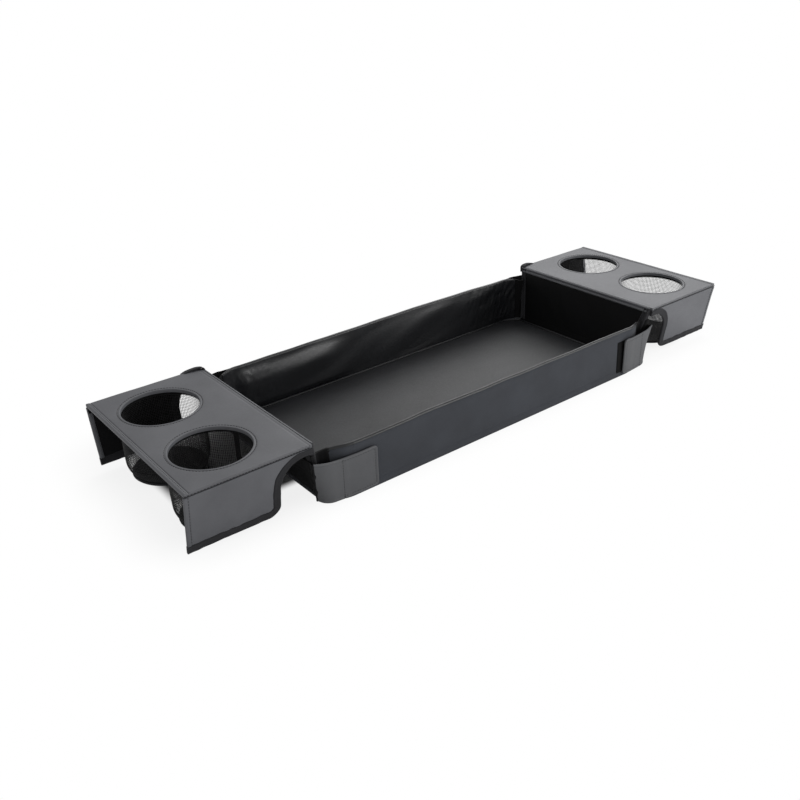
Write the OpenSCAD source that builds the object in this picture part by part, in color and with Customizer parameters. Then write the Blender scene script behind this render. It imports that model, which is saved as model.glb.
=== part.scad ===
// Cup holder tray: a soft-sided tray that spans two rails, with a stiff panel
// over each rail and a pair of mesh cups hung from each panel.
// Millimetres, +Z up. The origin is the centre of the underside.
// +X runs along the tray, and the front wall is on the -Y side.

/* [Tray floor] */
// Inside length of the tray at the floor
tray_len = 522; // [420:1:620]
// Inside width of the tray between its long walls
tray_w = 241; // [210:1:300]
// Length of a rounded floor corner, along the tray
corner_x = 36.5; // [30:0.5:55]
// Width of a rounded floor corner, across the tray
corner_y = 19; // [14:0.5:28]
// Thickness of the stiff board in the floor
floor_board_t = 2.4; // [1.5:0.1:5]
// Thickness of the vinyl liner
liner_t = 0.9; // [0.5:0.1:1.5]
// Thickness of the outer fabric cover
cover_t = 0.9; // [0.5:0.1:1.5]
// Radius of the raised seam round the floor
welt_r = 1.1; // [0.8:0.1:2]

/* [Long walls] */
// Thickness of a padded long wall
wall_t = 6.5; // [5:0.1:10]
// Height of the front wall above the ground
front_wall_h = 68.5; // [60:0.5:76]
// Height of the back wall above the ground
back_wall_h = 72; // [60:0.5:76]
// Depth of liner that wraps over a wall's top edge
lip_h = 3.6; // [2:0.1:8]

/* [End walls] */
// Thickness of an end wall
end_t = 5.7; // [4.5:0.1:9]
// Outward lean of an end wall, in degrees
end_lean = 13; // [0:0.5:18]
// Width that an end wall gains from its foot to the panel, on each side
end_flare = 18; // [10:0.5:20]
// Radius of the soft ridge below an end wall's top edge
ridge_r = 1.6; // [1:0.1:3]
// Distance from the top edge down to that ridge
ridge_drop = 6; // [4:0.5:12]
// Width of the tape that binds an end wall's side edges
edge_tape_w = 9; // [5:0.5:12]
// Thickness of that tape
edge_tape_t = 0.6; // [0.4:0.1:0.9]

/* [Cup panels] */
// Height of a panel's top face above the ground
panel_z = 84.5; // [84:0.5:100]
// Length of a panel, along the tray
panel_len = 146; // [140:1:180]
// Distance that a panel reaches past the tray's inside, on each side
panel_over = 5.5; // [2:0.5:8]
// Thickness of a panel's vinyl skin
skin_t = 1; // [0.6:0.1:1.5]
// Thickness of the stiff board in a panel
panel_board_t = 2.4; // [1.5:0.1:4]
// Thickness of the fabric lining under a panel
lining_t = 0.8; // [0.5:0.1:1.5]
// Width of the skin turned in round a panel's edges
turn_in = 1.6; // [1.2:0.1:3]
// Radius of a panel's folded edges
fold_r = 3; // [1.5:0.1:3.2]

/* [Cups] */
// Diameter of a cup hole
hole_d = 88; // [70:0.5:90]
// Distance from a panel's outer edge to the hole centres
hole_margin = 63.2; // [58:0.1:68]
// Distance from a panel's side edge to the nearest hole centre
hole_side = 65.3; // [65:0.1:70]
// Width of the hemmed ring round a hole
hem_w = 3.4; // [2.5:0.1:5]
// Height of the hemmed ring above the skin
hem_rise = 0.4; // [0:0.1:1]
// Outside radius of a mesh cup
cup_r = 49; // [48.5:0.1:52]
// Thickness of the mesh wall
mesh_t = 1.2; // [0.8:0.1:2]
// Width of the flange that the mesh is sewn on by
flange_w = 2.5; // [1:0.1:4]
// Height of a cup's base above the ground
cup_z = 6; // [3:0.5:20]
// Thickness of a cup's base disc
base_t = 2; // [1:0.1:4]
// Radius of the round where the mesh turns in to the base
cup_round = 20; // [12:0.5:26]
// Height of that round above the base disc
cup_round_h = 16; // [8:0.5:18]
// Radius of the bound seam round the base
piping_r = 1.4; // [0.8:0.1:2]
// Height of the fabric band round a cup's top
band_h = 9; // [5:0.5:14]
// Thickness that the band adds to each face of the mesh
band_t = 0.5; // [0.3:0.1:1]

/* [Side flaps] */
// Length of a flap, from its fold to its lower edge
flap_len = 72.4; // [60:0.1:74]
// Swing of a hanging flap in towards the cups, in degrees
flap_swing = 9.7; // [0:0.1:11]
// Thickness of a flap's binding tape
tape_t = 3.2; // [2.6:0.1:4]
// Width of the binding tape
tape_w = 9.5; // [6:0.5:14]
// Depth that the flap reaches into the folded tape edge
tape_cover = 1; // [0.6:0.1:2]
// Thickness of a flap's stiff, lined inner layer
stiffener_t = 1; // [0.6:0.1:1.4]
// Width of the rail cut-out in a flap
arch_w = 38; // [34:0.5:50]
// Depth of flap left above the cut-out
arch_drop = 8.5; // [6:0.5:14]
// Radius of the cut-out's inner corner
arch_r = 30; // [10:0.5:36]
// Radius of a flap's lower inner corner
flap_corner_r = 14; // [10:0.5:20]
// Width of the folded hem down a flap's outer edge
hem_fold_w = 6; // [3:0.5:10]

/* [Corner tabs] */
// Thickness of a corner gusset
gusset_t = 2.2; // [1.5:0.1:3]
// Depth of the pleat in a gusset's top edge
pleat = 8; // [0:0.5:10]
// Thickness of a tab strap
tab_t = 2; // [1.5:0.1:3]
// Height of a tab strap
tab_h = 51; // [40:0.5:54]
// Height of a tab's lower edge above the ground
tab_z = 5; // [4:0.5:12]
// Radius of a tab's free corners
tab_corner_r = 6; // [3:0.5:10]
// Length of a left tab's flat grip, from its free end to its bend
left_grip = 42.7; // [22:0.1:54]
// Length of a right tab's flat grip, from its free end to its bend
right_grip = 24.7; // [22:0.1:44]
// Thickness of the hook pads
hook_t = 1; // [0.6:0.1:1.5]
// Thickness of the loop patches
loop_t = 1; // [0.6:0.1:1.5]
// Width of a loop patch
loop_w = 26; // [20:0.5:32]
// Margin from a tab's edges to its hook pad
hook_margin = 4; // [3:0.5:8]

/* [Fits] */
// Gap between pieces that move on each other
seam_gap = 0.3; // [0.2:0.1:0.5]
// Gap round pieces that seat in one another
seat_gap = 0.05; // [0.02:0.01:0.1]

/* [Hidden] */
vinyl = [0.36, 0.36, 0.37];
dark_vinyl = [0.2, 0.2, 0.21];
fabric = [0.23, 0.24, 0.26];
black_fabric = [0.09, 0.09, 0.1];
board_grey = [0.5, 0.48, 0.45];
tape_grey = [0.25, 0.25, 0.26];

overcut = 1;
round_fn = 64;
hole_fn = 96;
body_fn = 48;

// Floor stack, and the plan outline of the tray
floor_top = cover_t + floor_board_t + liner_t;
rim_z = floor_top + 1.8 * welt_r + 0.02;
wall_foot = rim_z + seam_gap;
rim_w = wall_t - 0.2;
half_w = tray_w / 2 + wall_t;
half_len = tray_len / 2 + end_t;
arc_x = half_len - corner_x;
arc_r = (corner_x * corner_x + corner_y * corner_y) / (2 * corner_y);
arc_end = asin(corner_x / arc_r);
arc_y = arc_r - half_w;

// Panel and end wall, which meet at the panel's inner edge
panel_w = tray_w + 2 * panel_over;
panel_t = skin_t + panel_board_t + lining_t;
panel_under = panel_z - panel_t;
half_panel_w = panel_w / 2;
end_half_foot = half_w - corner_y - 3;
end_rise = panel_z - wall_foot;
lean_in = end_t * sin(end_lean);
liner_x = half_len + end_rise * tan(end_lean) - (end_t - liner_t) / cos(end_lean);
panel_in = liner_x + seam_gap;
liner_len = (end_rise - seam_gap - lean_in) / cos(end_lean);
cover_len = (panel_under - seam_gap - wall_foot - lean_in) / cos(end_lean);

// Hole and cup
hole_r = hole_d / 2;
hole_x = panel_len - hole_margin;
hole_pitch = panel_w - 2 * hole_side;
ring_r = hole_r + hem_w;
cup_low = cup_z + base_t;
round_z = cup_low + cup_round_h;
round_x = cup_r - cup_round;
foot_r = round_x + sqrt(cup_round * cup_round - cup_round_h * cup_round_h);

// Flap
flap_z = panel_under - seam_gap - tape_t * sin(flap_swing);
skin_in = (tape_t - skin_t - stiffener_t) / 2;

// Tabs: the strap lies outside the hook pad, which lies outside the loop patch
tab_y = -(half_w + loop_t + seam_gap + hook_t);
tab_top = tab_z + tab_h;
tab_seam_y = -(end_half_foot - 7);
tab_seam_z = wall_foot + 1;
bend_low_x = half_len - 23;
bend_top_x = half_len - 11;
bend_low_y = 25;
bend_top_y = 11;
left_tab_x = bend_low_x - left_grip;
right_tab_x = bend_low_x - right_grip;
hook_end_x = bend_low_x - 1;
wall_half = arc_x - seam_gap;
loop_z = wall_foot + 4;
loop_h = tab_h - 3;

// Every mirrored piece is drawn once, at the right and the front
module on_left() { mirror([1, 0, 0]) children(); }
module on_back() { mirror([0, 1, 0]) children(); }
module both_sides() {
    children();
    on_back() children();
}

// Turns a drawing in Y and Z into a bar along +X
module along_x(length) {
    rotate([90, 0, 90]) linear_extrude(length) children();
}

// Turns a drawing in X and Z into a plate that grows towards +Y
module across_y(depth) {
    translate([0, depth, 0]) rotate([90, 0, 0]) linear_extrude(depth) children();
}

// Plan of the tray, drawn in by inset: a rectangle with wide, rounded corners
module plan(inset) {
    difference() {
        square([2 * (half_len - inset), 2 * (half_w - inset)], center = true);
        for (sx = [-1, 1], sy = [-1, 1]) scale([sx, sy]) difference() {
            translate([arc_x, -half_w - overcut])
                square([corner_x + overcut, arc_r + overcut]);
            translate([arc_x, arc_y]) circle(arc_r - inset, $fn = hole_fn);
        }
    }
}

module plan_plate(inset, low, high) {
    translate([0, 0, low]) linear_extrude(high - low) plan(inset);
}

// The outer fabric wraps the floor board and turns in under the walls
module base_cover() {
    color(fabric) difference() {
        plan_plate(0, 0, rim_z);
        plan_plate(cover_t, cover_t, floor_top);
        plan_plate(rim_w, cover_t, rim_z + overcut);
    }
}

module floor_board() {
    color(board_grey) plan_plate(cover_t + seat_gap, cover_t, floor_top - liner_t);
}

module floor_liner() {
    color(dark_vinyl) plan_plate(cover_t + seat_gap, floor_top - liner_t, floor_top);
}

// A raised, topstitched seam runs along each side of the floor
module welt_bar(length) {
    along_x(length) difference() {
        translate([0, 0.8 * welt_r]) circle(welt_r, $fn = 32);
        translate([-2 * welt_r, -2 * welt_r]) square([4 * welt_r, 2 * welt_r]);
    }
}

module floor_welts() {
    side_y = half_w - rim_w - welt_r;
    end_x = half_len - rim_w - welt_r;
    end_y = end_half_foot - 2 * welt_r;
    color(dark_vinyl) translate([0, 0, floor_top]) {
        both_sides() translate([-arc_x, -side_y, 0]) welt_bar(2 * arc_x);
        for (sx = [-1, 1])
            translate([sx * end_x, -end_y, 0]) rotate([0, 0, 90]) welt_bar(2 * end_y);
    }
}

// Section of a long wall in Y and Z, drawn in by inset, with a round top
module wall_section(inset, top) {
    r = wall_t / 2;
    translate([-half_w + inset, wall_foot + inset])
        square([wall_t - 2 * inset, top - r - wall_foot - inset]);
    translate([-half_w + r, top - r]) circle(r - inset, $fn = body_fn);
}

// The part of a wall's shell that the outer fabric covers
module cover_zone(top) {
    translate([-half_w - overcut, 0]) square([wall_t / 2 + overcut, top - lip_h]);
}

module wall_cover(top) {
    color(fabric) translate([-wall_half, 0, 0]) along_x(2 * wall_half) intersection() {
        difference() {
            wall_section(0, top);
            wall_section(cover_t, top);
        }
        cover_zone(top);
    }
}

module wall_liner(top) {
    color(dark_vinyl) translate([-wall_half, 0, 0]) along_x(2 * wall_half) difference() {
        wall_section(0, top);
        wall_section(liner_t, top);
        cover_zone(top);
    }
}

module wall_board(top) {
    inset = max(cover_t, liner_t) + seat_gap;
    color(board_grey) translate([-wall_half + 1, 0, 0]) along_x(2 * wall_half - 2)
        wall_section(inset, top);
}

// A loop patch is sewn on the wall's fabric, under each tab
module loop_patches() {
    color(black_fabric) for (sx = [-1, 1]) scale([sx, 1, 1])
        translate([wall_half - loop_w, -half_w - loop_t, loop_z])
            cube([loop_w, loop_t, loop_h]);
}

// A swept strip: inner points low and high at each station, thickness outward
function unit2(v) = v / norm(v);
function outward(p, i) =
    let (a = p[max(i - 1, 0)], b = p[min(i + 1, len(p) - 1)], d = unit2([b.x - a.x, b.y - a.y]))
    [d.y, -d.x, 0];

module strip(low, high, thick) {
    n = len(low);
    points = [for (i = [0:n - 1]) each [
        low[i],
        low[i] + thick * outward(low, i),
        high[i] + thick * outward(high, i),
        high[i]
    ]];
    sides = [for (i = [0:n - 2], k = [0:3]) let (
        a = 4 * i + k,
        b = 4 * i + (k + 1) % 4
    ) each [[a, b, b + 4], [a, b + 4, a + 4]]];
    last = 4 * (n - 1);
    caps = [
        [0, 3, 2], [0, 2, 1],
        [last, last + 1, last + 2], [last, last + 2, last + 3]
    ];
    polyhedron(points = points, faces = concat(sides, caps), convexity = 6);
}

// A gusset joins a long wall to an end wall. Its foot follows the floor's round
// corner, and its top edge dips inward in a pleat.
gusset_steps = 14;
gusset_low = [for (i = [0:gusset_steps]) let (a = arc_end * i / gusset_steps)
    [arc_x + (arc_r - gusset_t) * sin(a), arc_y - (arc_r - gusset_t) * cos(a), rim_z]];
gusset_gap = 1.5;
gusset_rise = front_wall_h - wall_foot;
gusset_end_x = half_len + gusset_rise * tan(end_lean) - gusset_gap;
gusset_end_y = -(end_half_foot + end_flare * gusset_rise / end_rise + gusset_gap + edge_tape_t);
function pleat_at(s) = pleat * pow(sin(180 * pow(s, 1.6)), 2);
function gusset_high(top) = [for (i = [0:gusset_steps]) let (s = i / gusset_steps)
    [
        arc_x + (gusset_end_x - arc_x) * s,
        -half_w + gusset_t + (gusset_end_y + half_w - gusset_t) * s + pleat_at(s),
        top - lip_h
    ]];

module gusset(top) {
    color(black_fabric) strip(gusset_low, gusset_high(top), gusset_t);
}

// An end wall leans out from the floor. Its drawings are in Y and up the slope.
module lean_out() {
    translate([half_len, 0, wall_foot]) rotate([0, end_lean, 0]) children();
}

// An end wall widens on each side as it rises.
function end_grow(length) = end_flare * length * cos(end_lean) / end_rise;

module end_layer(low, high, length) {
    grow = end_grow(length);
    translate([-high, 0, 0]) along_x(high - low) polygon([
        [-end_half_foot, 0],
        [end_half_foot, 0],
        [end_half_foot + grow, length],
        [-end_half_foot - grow, length]
    ]);
}

module end_cover() {
    color(fabric) lean_out() end_layer(0, cover_t, cover_len);
}

module end_board() {
    color(board_grey) lean_out() end_layer(cover_t, end_t - liner_t, cover_len);
}

// The liner stands above the board, up to the panel's fold, with a soft ridge
module end_liner() {
    ridge_s = liner_len - ridge_drop;
    ridge_half = end_half_foot + end_grow(ridge_s) - ridge_r;
    color(dark_vinyl) lean_out() {
        end_layer(end_t - liner_t, end_t, liner_len);
        translate([-end_t + 0.3, 0, ridge_s]) rotate([90, 0, 0]) difference() {
            cylinder(r = ridge_r, h = 2 * ridge_half, center = true, $fn = 32);
            translate([0.3, -2 * ridge_r, -ridge_half - overcut])
                cube([2 * ridge_r, 4 * ridge_r, 2 * ridge_half + 2 * overcut]);
        }
    }
}

// Tape binds each side edge of an end wall. It lies on the edge and the liner,
// and it stops under the soft ridge.
module end_bindings() {
    tape_len = liner_len - ridge_drop - ridge_r - seat_gap;
    foot = end_half_foot;
    top = foot + end_grow(tape_len);
    color(tape_grey) lean_out() both_sides() {
        translate([-end_t - edge_tape_t, 0, 0]) along_x(edge_tape_t) polygon([
            [-foot - edge_tape_t, 0],
            [-foot + edge_tape_w, 0],
            [-top + edge_tape_w, tape_len],
            [-top - edge_tape_t, tape_len]
        ]);
        translate([-end_t - edge_tape_t, 0, 0]) along_x(end_t + edge_tape_t) polygon([
            [-foot - edge_tape_t, 0],
            [-foot, 0],
            [-top, tape_len],
            [-top - edge_tape_t, tape_len]
        ]);
    }
}

// A tab strap: a flat grip with rounded corners, a bend round the tray's corner,
// and an end sewn to the leaning end wall. h runs from 0 at its foot to 1.
function mix(a, b, h) = a + (b - a) * h;
function seam_x(z) = half_len + (z - wall_foot) * tan(end_lean) + seam_gap / cos(end_lean);
function bend_point(a, h) = let (
    x0 = mix(bend_low_x, bend_top_x, h),
    x1 = seam_x(mix(tab_seam_z, tab_top, h)) + 0.4,
    dy = mix(bend_low_y, bend_top_y, h)
) [x0 + (x1 - x0) * sin(a), tab_y + dy * (1 - cos(a))];
tab_low_x = [for (a = [0:15:90]) tab_corner_r * (1 - cos(a))];
tab_low_z = [for (a = [0:15:90]) tab_corner_r * (1 - sin(a))];
function foot_z(a) = mix(tab_z, tab_seam_z, pow(sin(a), 4));
function tab_line(free_x, h) = let (
    z_end = h == 0 ? tab_seam_z : tab_top,
    turn = h == 0 ? 1 : -1,
    edge = h == 0 ? tab_z : tab_top
) concat(
    [for (i = [0:len(tab_low_x) - 1])
        [free_x + tab_low_x[i], tab_y, edge + turn * tab_low_z[i]]],
    [for (a = [0:10:90]) let (p = bend_point(a, h))
        [p.x, p.y, h == 0 ? foot_z(a) : tab_top]],
    [[bend_point(90, h).x, tab_seam_y, z_end]]
);

module tab(free_x) {
    color(vinyl) strip(tab_line(free_x, 0), tab_line(free_x, 1), tab_t);
}

module hook_pad(free_x) {
    x0 = free_x + hook_margin;
    color(black_fabric) translate([x0, tab_y, tab_z + hook_margin])
        cube([hook_end_x - x0, hook_t, tab_h - 2 * hook_margin]);
}

// Solid outline of a panel, with its top edges folded round
module panel_slab() {
    intersection() {
        translate([0, -half_panel_w, 0]) across_y(panel_w) {
            translate([panel_in + fold_r, panel_under]) square([panel_len - fold_r, panel_t]);
            translate([panel_in, panel_under]) square([2 * fold_r, panel_t - fold_r]);
            translate([panel_in + fold_r, panel_z - fold_r]) circle(fold_r, $fn = body_fn);
        }
        translate([panel_in - overcut, 0, 0]) along_x(panel_len + 2 * overcut) {
            translate([-half_panel_w, panel_under]) square([panel_w, panel_t - fold_r]);
            translate([-half_panel_w + fold_r, panel_under])
                square([panel_w - 2 * fold_r, panel_t]);
            for (sy = [-1, 1]) translate([sy * (half_panel_w - fold_r), panel_z - fold_r])
                circle(fold_r, $fn = body_fn);
        }
        panel_layer(panel_under, panel_z + overcut, -overcut);
    }
}

// Upright cylinders at the two hole centres of a panel
module at_holes() {
    for (sy = [-1, 1]) translate([panel_in + hole_x, sy * hole_pitch / 2, 0]) children();
}

module hole_cuts() {
    at_holes() translate([0, 0, panel_under - overcut])
        cylinder(r = ring_r + seat_gap, h = panel_t + 2 * overcut, $fn = hole_fn);
}

module panel_layer(low, high, inset) {
    translate([panel_in + inset, -half_panel_w + inset, low])
        cube([panel_len - 2 * inset, panel_w - 2 * inset, high - low]);
}

module panel_skin() {
    color(vinyl) difference() {
        panel_slab();
        panel_layer(panel_under - overcut, panel_z - skin_t, turn_in);
        hole_cuts();
    }
}

module panel_board() {
    color(board_grey) difference() {
        panel_layer(panel_under + lining_t, panel_z - skin_t, turn_in + seat_gap);
        hole_cuts();
    }
}

module panel_lining() {
    color(black_fabric) difference() {
        panel_layer(panel_under, panel_under + lining_t, turn_in + seat_gap);
        hole_cuts();
    }
}

// A hemmed ring lines each hole, with a rolled lip on the skin
module hole_hems() {
    lip_r = hem_w / 2;
    color(vinyl) at_holes() rotate_extrude($fn = hole_fn) {
        translate([hole_r, panel_under])
            square([hem_w, panel_t + hem_rise - lip_r]);
        translate([hole_r + lip_r, panel_z + hem_rise - lip_r]) circle(lip_r, $fn = 32);
    }
}

// Half section of a mesh cup, drawn in by inset
module cup_section(inset) {
    intersection() {
        translate([0, cup_low]) square([cup_r - inset, panel_under - cup_low]);
        union() {
            translate([0, round_z]) square([cup_r, panel_under - round_z]);
            translate([round_x, round_z]) circle(cup_round - inset, $fn = hole_fn);
            square([round_x, round_z]);
        }
    }
}

// A mesh cup hangs from a flange sewn under the panel. A fabric band stiffens its
// top, and its wall turns in at the foot.
module cup() {
    color(black_fabric) translate([panel_in + hole_x, -hole_pitch / 2, 0])
        rotate_extrude($fn = hole_fn) {
            difference() {
                cup_section(0);
                cup_section(mesh_t);
            }
            translate([cup_r - mesh_t, panel_under - mesh_t])
                square([mesh_t + flange_w, mesh_t]);
            translate([cup_r - mesh_t - band_t, panel_under - band_h])
                square([mesh_t + 2 * band_t, band_h]);
        }
}

module cup_bases() {
    color(black_fabric) at_holes() translate([0, 0, cup_z])
        cylinder(r = foot_r, h = base_t, $fn = hole_fn);
}

// A bound seam runs round each base
module cup_piping() {
    color(tape_grey) at_holes() rotate_extrude($fn = hole_fn) difference() {
        translate([foot_r + 0.8 * piping_r, cup_low - piping_r]) circle(piping_r, $fn = 32);
        square([foot_r + seat_gap, cup_low]);
    }
}

// Outline of a flap, drawn in by inset from its bound edges. It hangs below the
// panel's edge, and an arch at its inner end clears the rail.
module flap_shape(inset) {
    arch_x = arch_w - arch_r;
    arch_low = -(arch_drop + arch_r);
    corner = flap_corner_r;
    difference() {
        translate([0, -flap_len + inset]) square([panel_len, flap_len - inset]);
        translate([-overcut, -flap_len - overcut])
            square([arch_x + overcut, flap_len + overcut - arch_drop + inset]);
        translate([-overcut, -flap_len - overcut])
            square([arch_w + inset + overcut, flap_len + overcut + arch_low]);
        translate([arch_x, arch_low]) circle(arch_r + inset, $fn = hole_fn);
        difference() {
            translate([arch_w, -flap_len]) square(corner);
            translate([arch_w + corner, -flap_len + corner])
                circle(corner - inset, $fn = round_fn);
        }
    }
}

module in_flap() {
    translate([panel_in, -half_panel_w, flap_z]) rotate([flap_swing, 0, 0]) children();
}

// The vinyl outer layer, turned round the outer edge in a folded hem
module flap_skin() {
    color(vinyl) in_flap() difference() {
        union() {
            translate([0, skin_in, 0]) across_y(skin_t) flap_shape(tape_cover);
            translate([panel_len - hem_fold_w, skin_in, -flap_len + tape_w])
                cube([hem_fold_w, tape_t - skin_in, flap_len - tape_w]);
        }
        translate([panel_len - hem_fold_w - overcut, skin_in + skin_t, -flap_len])
            cube([hem_fold_w + overcut - skin_t, stiffener_t + seat_gap, flap_len + overcut]);
    }
}

module flap_stiffener() {
    color(black_fabric) in_flap() intersection() {
        translate([0, skin_in + skin_t, 0]) across_y(stiffener_t) flap_shape(tape_cover);
        translate([0, 0, -flap_len])
            cube([panel_len - skin_t - seat_gap, tape_t, flap_len]);
    }
}

// Binding tape folded over the arch, the inner edge and the lower edge
module flap_binding() {
    color(tape_grey) in_flap() difference() {
        across_y(tape_t) difference() {
            flap_shape(0);
            flap_shape(tape_w);
        }
        translate([0, skin_in - seat_gap, 0]) across_y(skin_t + stiffener_t + 2 * seat_gap)
            flap_shape(tape_cover - seat_gap);
    }
}

floor_liner();
floor_board();
base_cover();
floor_welts();
on_left() gusset(front_wall_h);  // front_left_gusset
gusset(front_wall_h);  // front_right_gusset
on_left() on_back() gusset(back_wall_h);  // back_left_gusset
on_back() gusset(back_wall_h);  // back_right_gusset
wall_liner(front_wall_h);  // front_wall_liner
wall_board(front_wall_h);  // front_wall_board
wall_cover(front_wall_h);  // front_wall_cover
loop_patches();  // front_loop_patches
on_back() wall_liner(back_wall_h);  // back_wall_liner
on_back() wall_board(back_wall_h);  // back_wall_board
on_back() wall_cover(back_wall_h);  // back_wall_cover
on_back() loop_patches();  // back_loop_patches
on_left() end_liner();  // left_end_liner
on_left() end_board();  // left_end_board
on_left() end_cover();  // left_end_cover
on_left() end_bindings();  // left_end_bindings
end_liner();  // right_end_liner
end_board();  // right_end_board
end_cover();  // right_end_cover
end_bindings();  // right_end_bindings
on_left() tab(left_tab_x);  // front_left_tab
on_left() hook_pad(left_tab_x);  // front_left_hook_pad
tab(right_tab_x);  // front_right_tab
hook_pad(right_tab_x);  // front_right_hook_pad
on_left() on_back() tab(left_tab_x);  // back_left_tab
on_left() on_back() hook_pad(left_tab_x);  // back_left_hook_pad
on_back() tab(right_tab_x);  // back_right_tab
on_back() hook_pad(right_tab_x);  // back_right_hook_pad
on_left() panel_skin();  // left_panel_skin
on_left() panel_board();  // left_panel_board
on_left() panel_lining();  // left_panel_lining
on_left() hole_hems();  // left_hole_hems
panel_skin();  // right_panel_skin
panel_board();  // right_panel_board
panel_lining();  // right_panel_lining
hole_hems();  // right_hole_hems
on_left() cup();  // left_front_cup
on_left() on_back() cup();  // left_back_cup
on_left() cup_bases();  // left_cup_bases
on_left() cup_piping();  // left_cup_piping
cup();  // right_front_cup
on_back() cup();  // right_back_cup
cup_bases();  // right_cup_bases
cup_piping();  // right_cup_piping
on_left() flap_skin();  // left_front_flap_skin
on_left() flap_stiffener();  // left_front_flap_stiffener
on_left() flap_binding();  // left_front_flap_binding
on_left() on_back() flap_skin();  // left_back_flap_skin
on_left() on_back() flap_stiffener();  // left_back_flap_stiffener
on_left() on_back() flap_binding();  // left_back_flap_binding
flap_skin();  // right_front_flap_skin
flap_stiffener();  // right_front_flap_stiffener
flap_binding();  // right_front_flap_binding
on_back() flap_skin();  // right_back_flap_skin
on_back() flap_stiffener();  // right_back_flap_stiffener
on_back() flap_binding();  // right_back_flap_binding
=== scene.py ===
import math

import bmesh
import bpy
import numpy as np
from mathutils import Matrix, Vector, noise


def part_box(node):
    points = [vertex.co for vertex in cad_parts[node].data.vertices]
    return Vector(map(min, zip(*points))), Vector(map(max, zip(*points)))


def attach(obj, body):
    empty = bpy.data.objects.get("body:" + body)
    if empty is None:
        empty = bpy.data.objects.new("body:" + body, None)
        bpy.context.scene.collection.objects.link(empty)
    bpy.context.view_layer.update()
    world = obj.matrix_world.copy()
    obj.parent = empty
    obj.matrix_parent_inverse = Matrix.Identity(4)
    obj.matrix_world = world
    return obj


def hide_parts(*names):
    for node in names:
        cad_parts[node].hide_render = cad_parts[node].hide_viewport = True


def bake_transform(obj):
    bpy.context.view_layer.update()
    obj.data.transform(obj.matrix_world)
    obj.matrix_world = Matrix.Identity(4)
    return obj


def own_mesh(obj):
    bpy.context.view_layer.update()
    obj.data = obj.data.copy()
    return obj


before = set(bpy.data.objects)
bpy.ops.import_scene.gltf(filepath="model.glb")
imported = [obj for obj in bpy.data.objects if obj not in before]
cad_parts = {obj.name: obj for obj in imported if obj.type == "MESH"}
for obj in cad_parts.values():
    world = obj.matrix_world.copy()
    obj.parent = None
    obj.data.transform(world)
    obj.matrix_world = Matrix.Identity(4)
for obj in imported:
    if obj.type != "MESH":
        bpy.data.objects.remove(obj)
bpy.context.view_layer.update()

# Camera
# The tray is seen from its front left corner and from above, with a short
# telephoto lens. The camera leans over by two degrees.
camera_place = Vector((-0.6849, -0.8064, 0.5350))
camera_target = Vector((-0.15097, -0.10878, 0.0845))
camera_roll = math.radians(-2.12)
camera_lens = 39.47

backward = (camera_place - camera_target).normalized()
level = (-backward).cross(Vector((0, 0, 1))).normalized()
upward = level.cross(-backward)
camera_right = math.cos(camera_roll) * level + math.sin(camera_roll) * upward
camera_top = -math.sin(camera_roll) * level + math.cos(camera_roll) * upward
camera_turn = Matrix((camera_right, camera_top, backward)).transposed().to_4x4()
camera_data = bpy.data.cameras.new("camera")
camera_data.lens = camera_lens
camera_data.sensor_width = 36
camera_data.clip_start = 0.01
camera = bpy.data.objects.new("camera", camera_data)
camera.matrix_world = Matrix.Translation(camera_place) @ camera_turn
bpy.context.scene.collection.objects.link(camera)
bpy.context.scene.camera = camera

# Light
# A large soft lamp hangs high at the back right, and a second one fills the
# front from the right. A pale, even surround lights the rest.
bpy.context.scene.view_settings.view_transform = "Standard"


def add(tree, kind, inputs=None, **settings):
    """Adds a node, makes its settings, and gives its inputs values or links."""
    made = tree.nodes.new(kind)
    for setting, value in settings.items():
        setattr(made, setting, value)
    for key, value in (inputs or {}).items():
        if isinstance(value, bpy.types.NodeSocket):
            tree.links.new(value, made.inputs[key])
        else:
            made.inputs[key].default_value = value
    return made


def softbox(name, place, aim, width, depth, watts):
    """A rectangular lamp that faces its aim. Places and sizes are in metres."""
    lamp = bpy.data.lights.new(name, "AREA")
    lamp.shape = "RECTANGLE"
    lamp.size = width
    lamp.size_y = depth
    lamp.energy = watts
    holder = bpy.data.objects.new(name, lamp)
    holder.location = place
    holder.rotation_euler = (Vector(aim) - Vector(place)).to_track_quat("-Z", "Y").to_euler()
    bpy.context.scene.collection.objects.link(holder)


softbox("high_lamp", place=(1.25, 0.75, 1.25), aim=(0.1, 0.0, 0.0), width=1.6, depth=1.2, watts=22)
softbox("front_lamp", place=(1.0, -1.45, 0.35), aim=(0.0, 0.0, 0.05), width=1.0, depth=0.6, watts=12.5)

world = bpy.data.worlds.new("surround")
world.use_nodes = True
world.node_tree.nodes.clear()
rays = add(world.node_tree, "ShaderNodeLightPath")
surround = add(world.node_tree, "ShaderNodeBackground", {"Color": (1, 1, 1, 1), "Strength": 0.55})
backdrop = add(world.node_tree, "ShaderNodeBackground", {"Color": (1, 1, 1, 1), "Strength": 1.0})
seen = add(world.node_tree, "ShaderNodeMixShader", {
    0: rays.outputs["Is Camera Ray"],
    1: surround.outputs[0],
    2: backdrop.outputs[0],
})
add(world.node_tree, "ShaderNodeOutputWorld", {"Surface": seen.outputs[0]})
bpy.context.scene.world = world

# Studio floor
# A white sweep of paper lies under the tray. It looks white from every side
# and keeps a faint halo of the tray's soft shadow. Under the tray its darker grey is painted shade.
# The shade's middle and half size and the halo's distances are in metres.
MM = 0.001
PAPER_HALF = 6000
SHADE_MIDDLE = (0.031, 0.04, 0)
SHADE_HALF = (0.412, 0.09, 0)
SHADE_EDGE = 0.016
HALO_FROM = 0.03
HALO_TO = 0.11
HALO_DEPTH = 0.16


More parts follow.
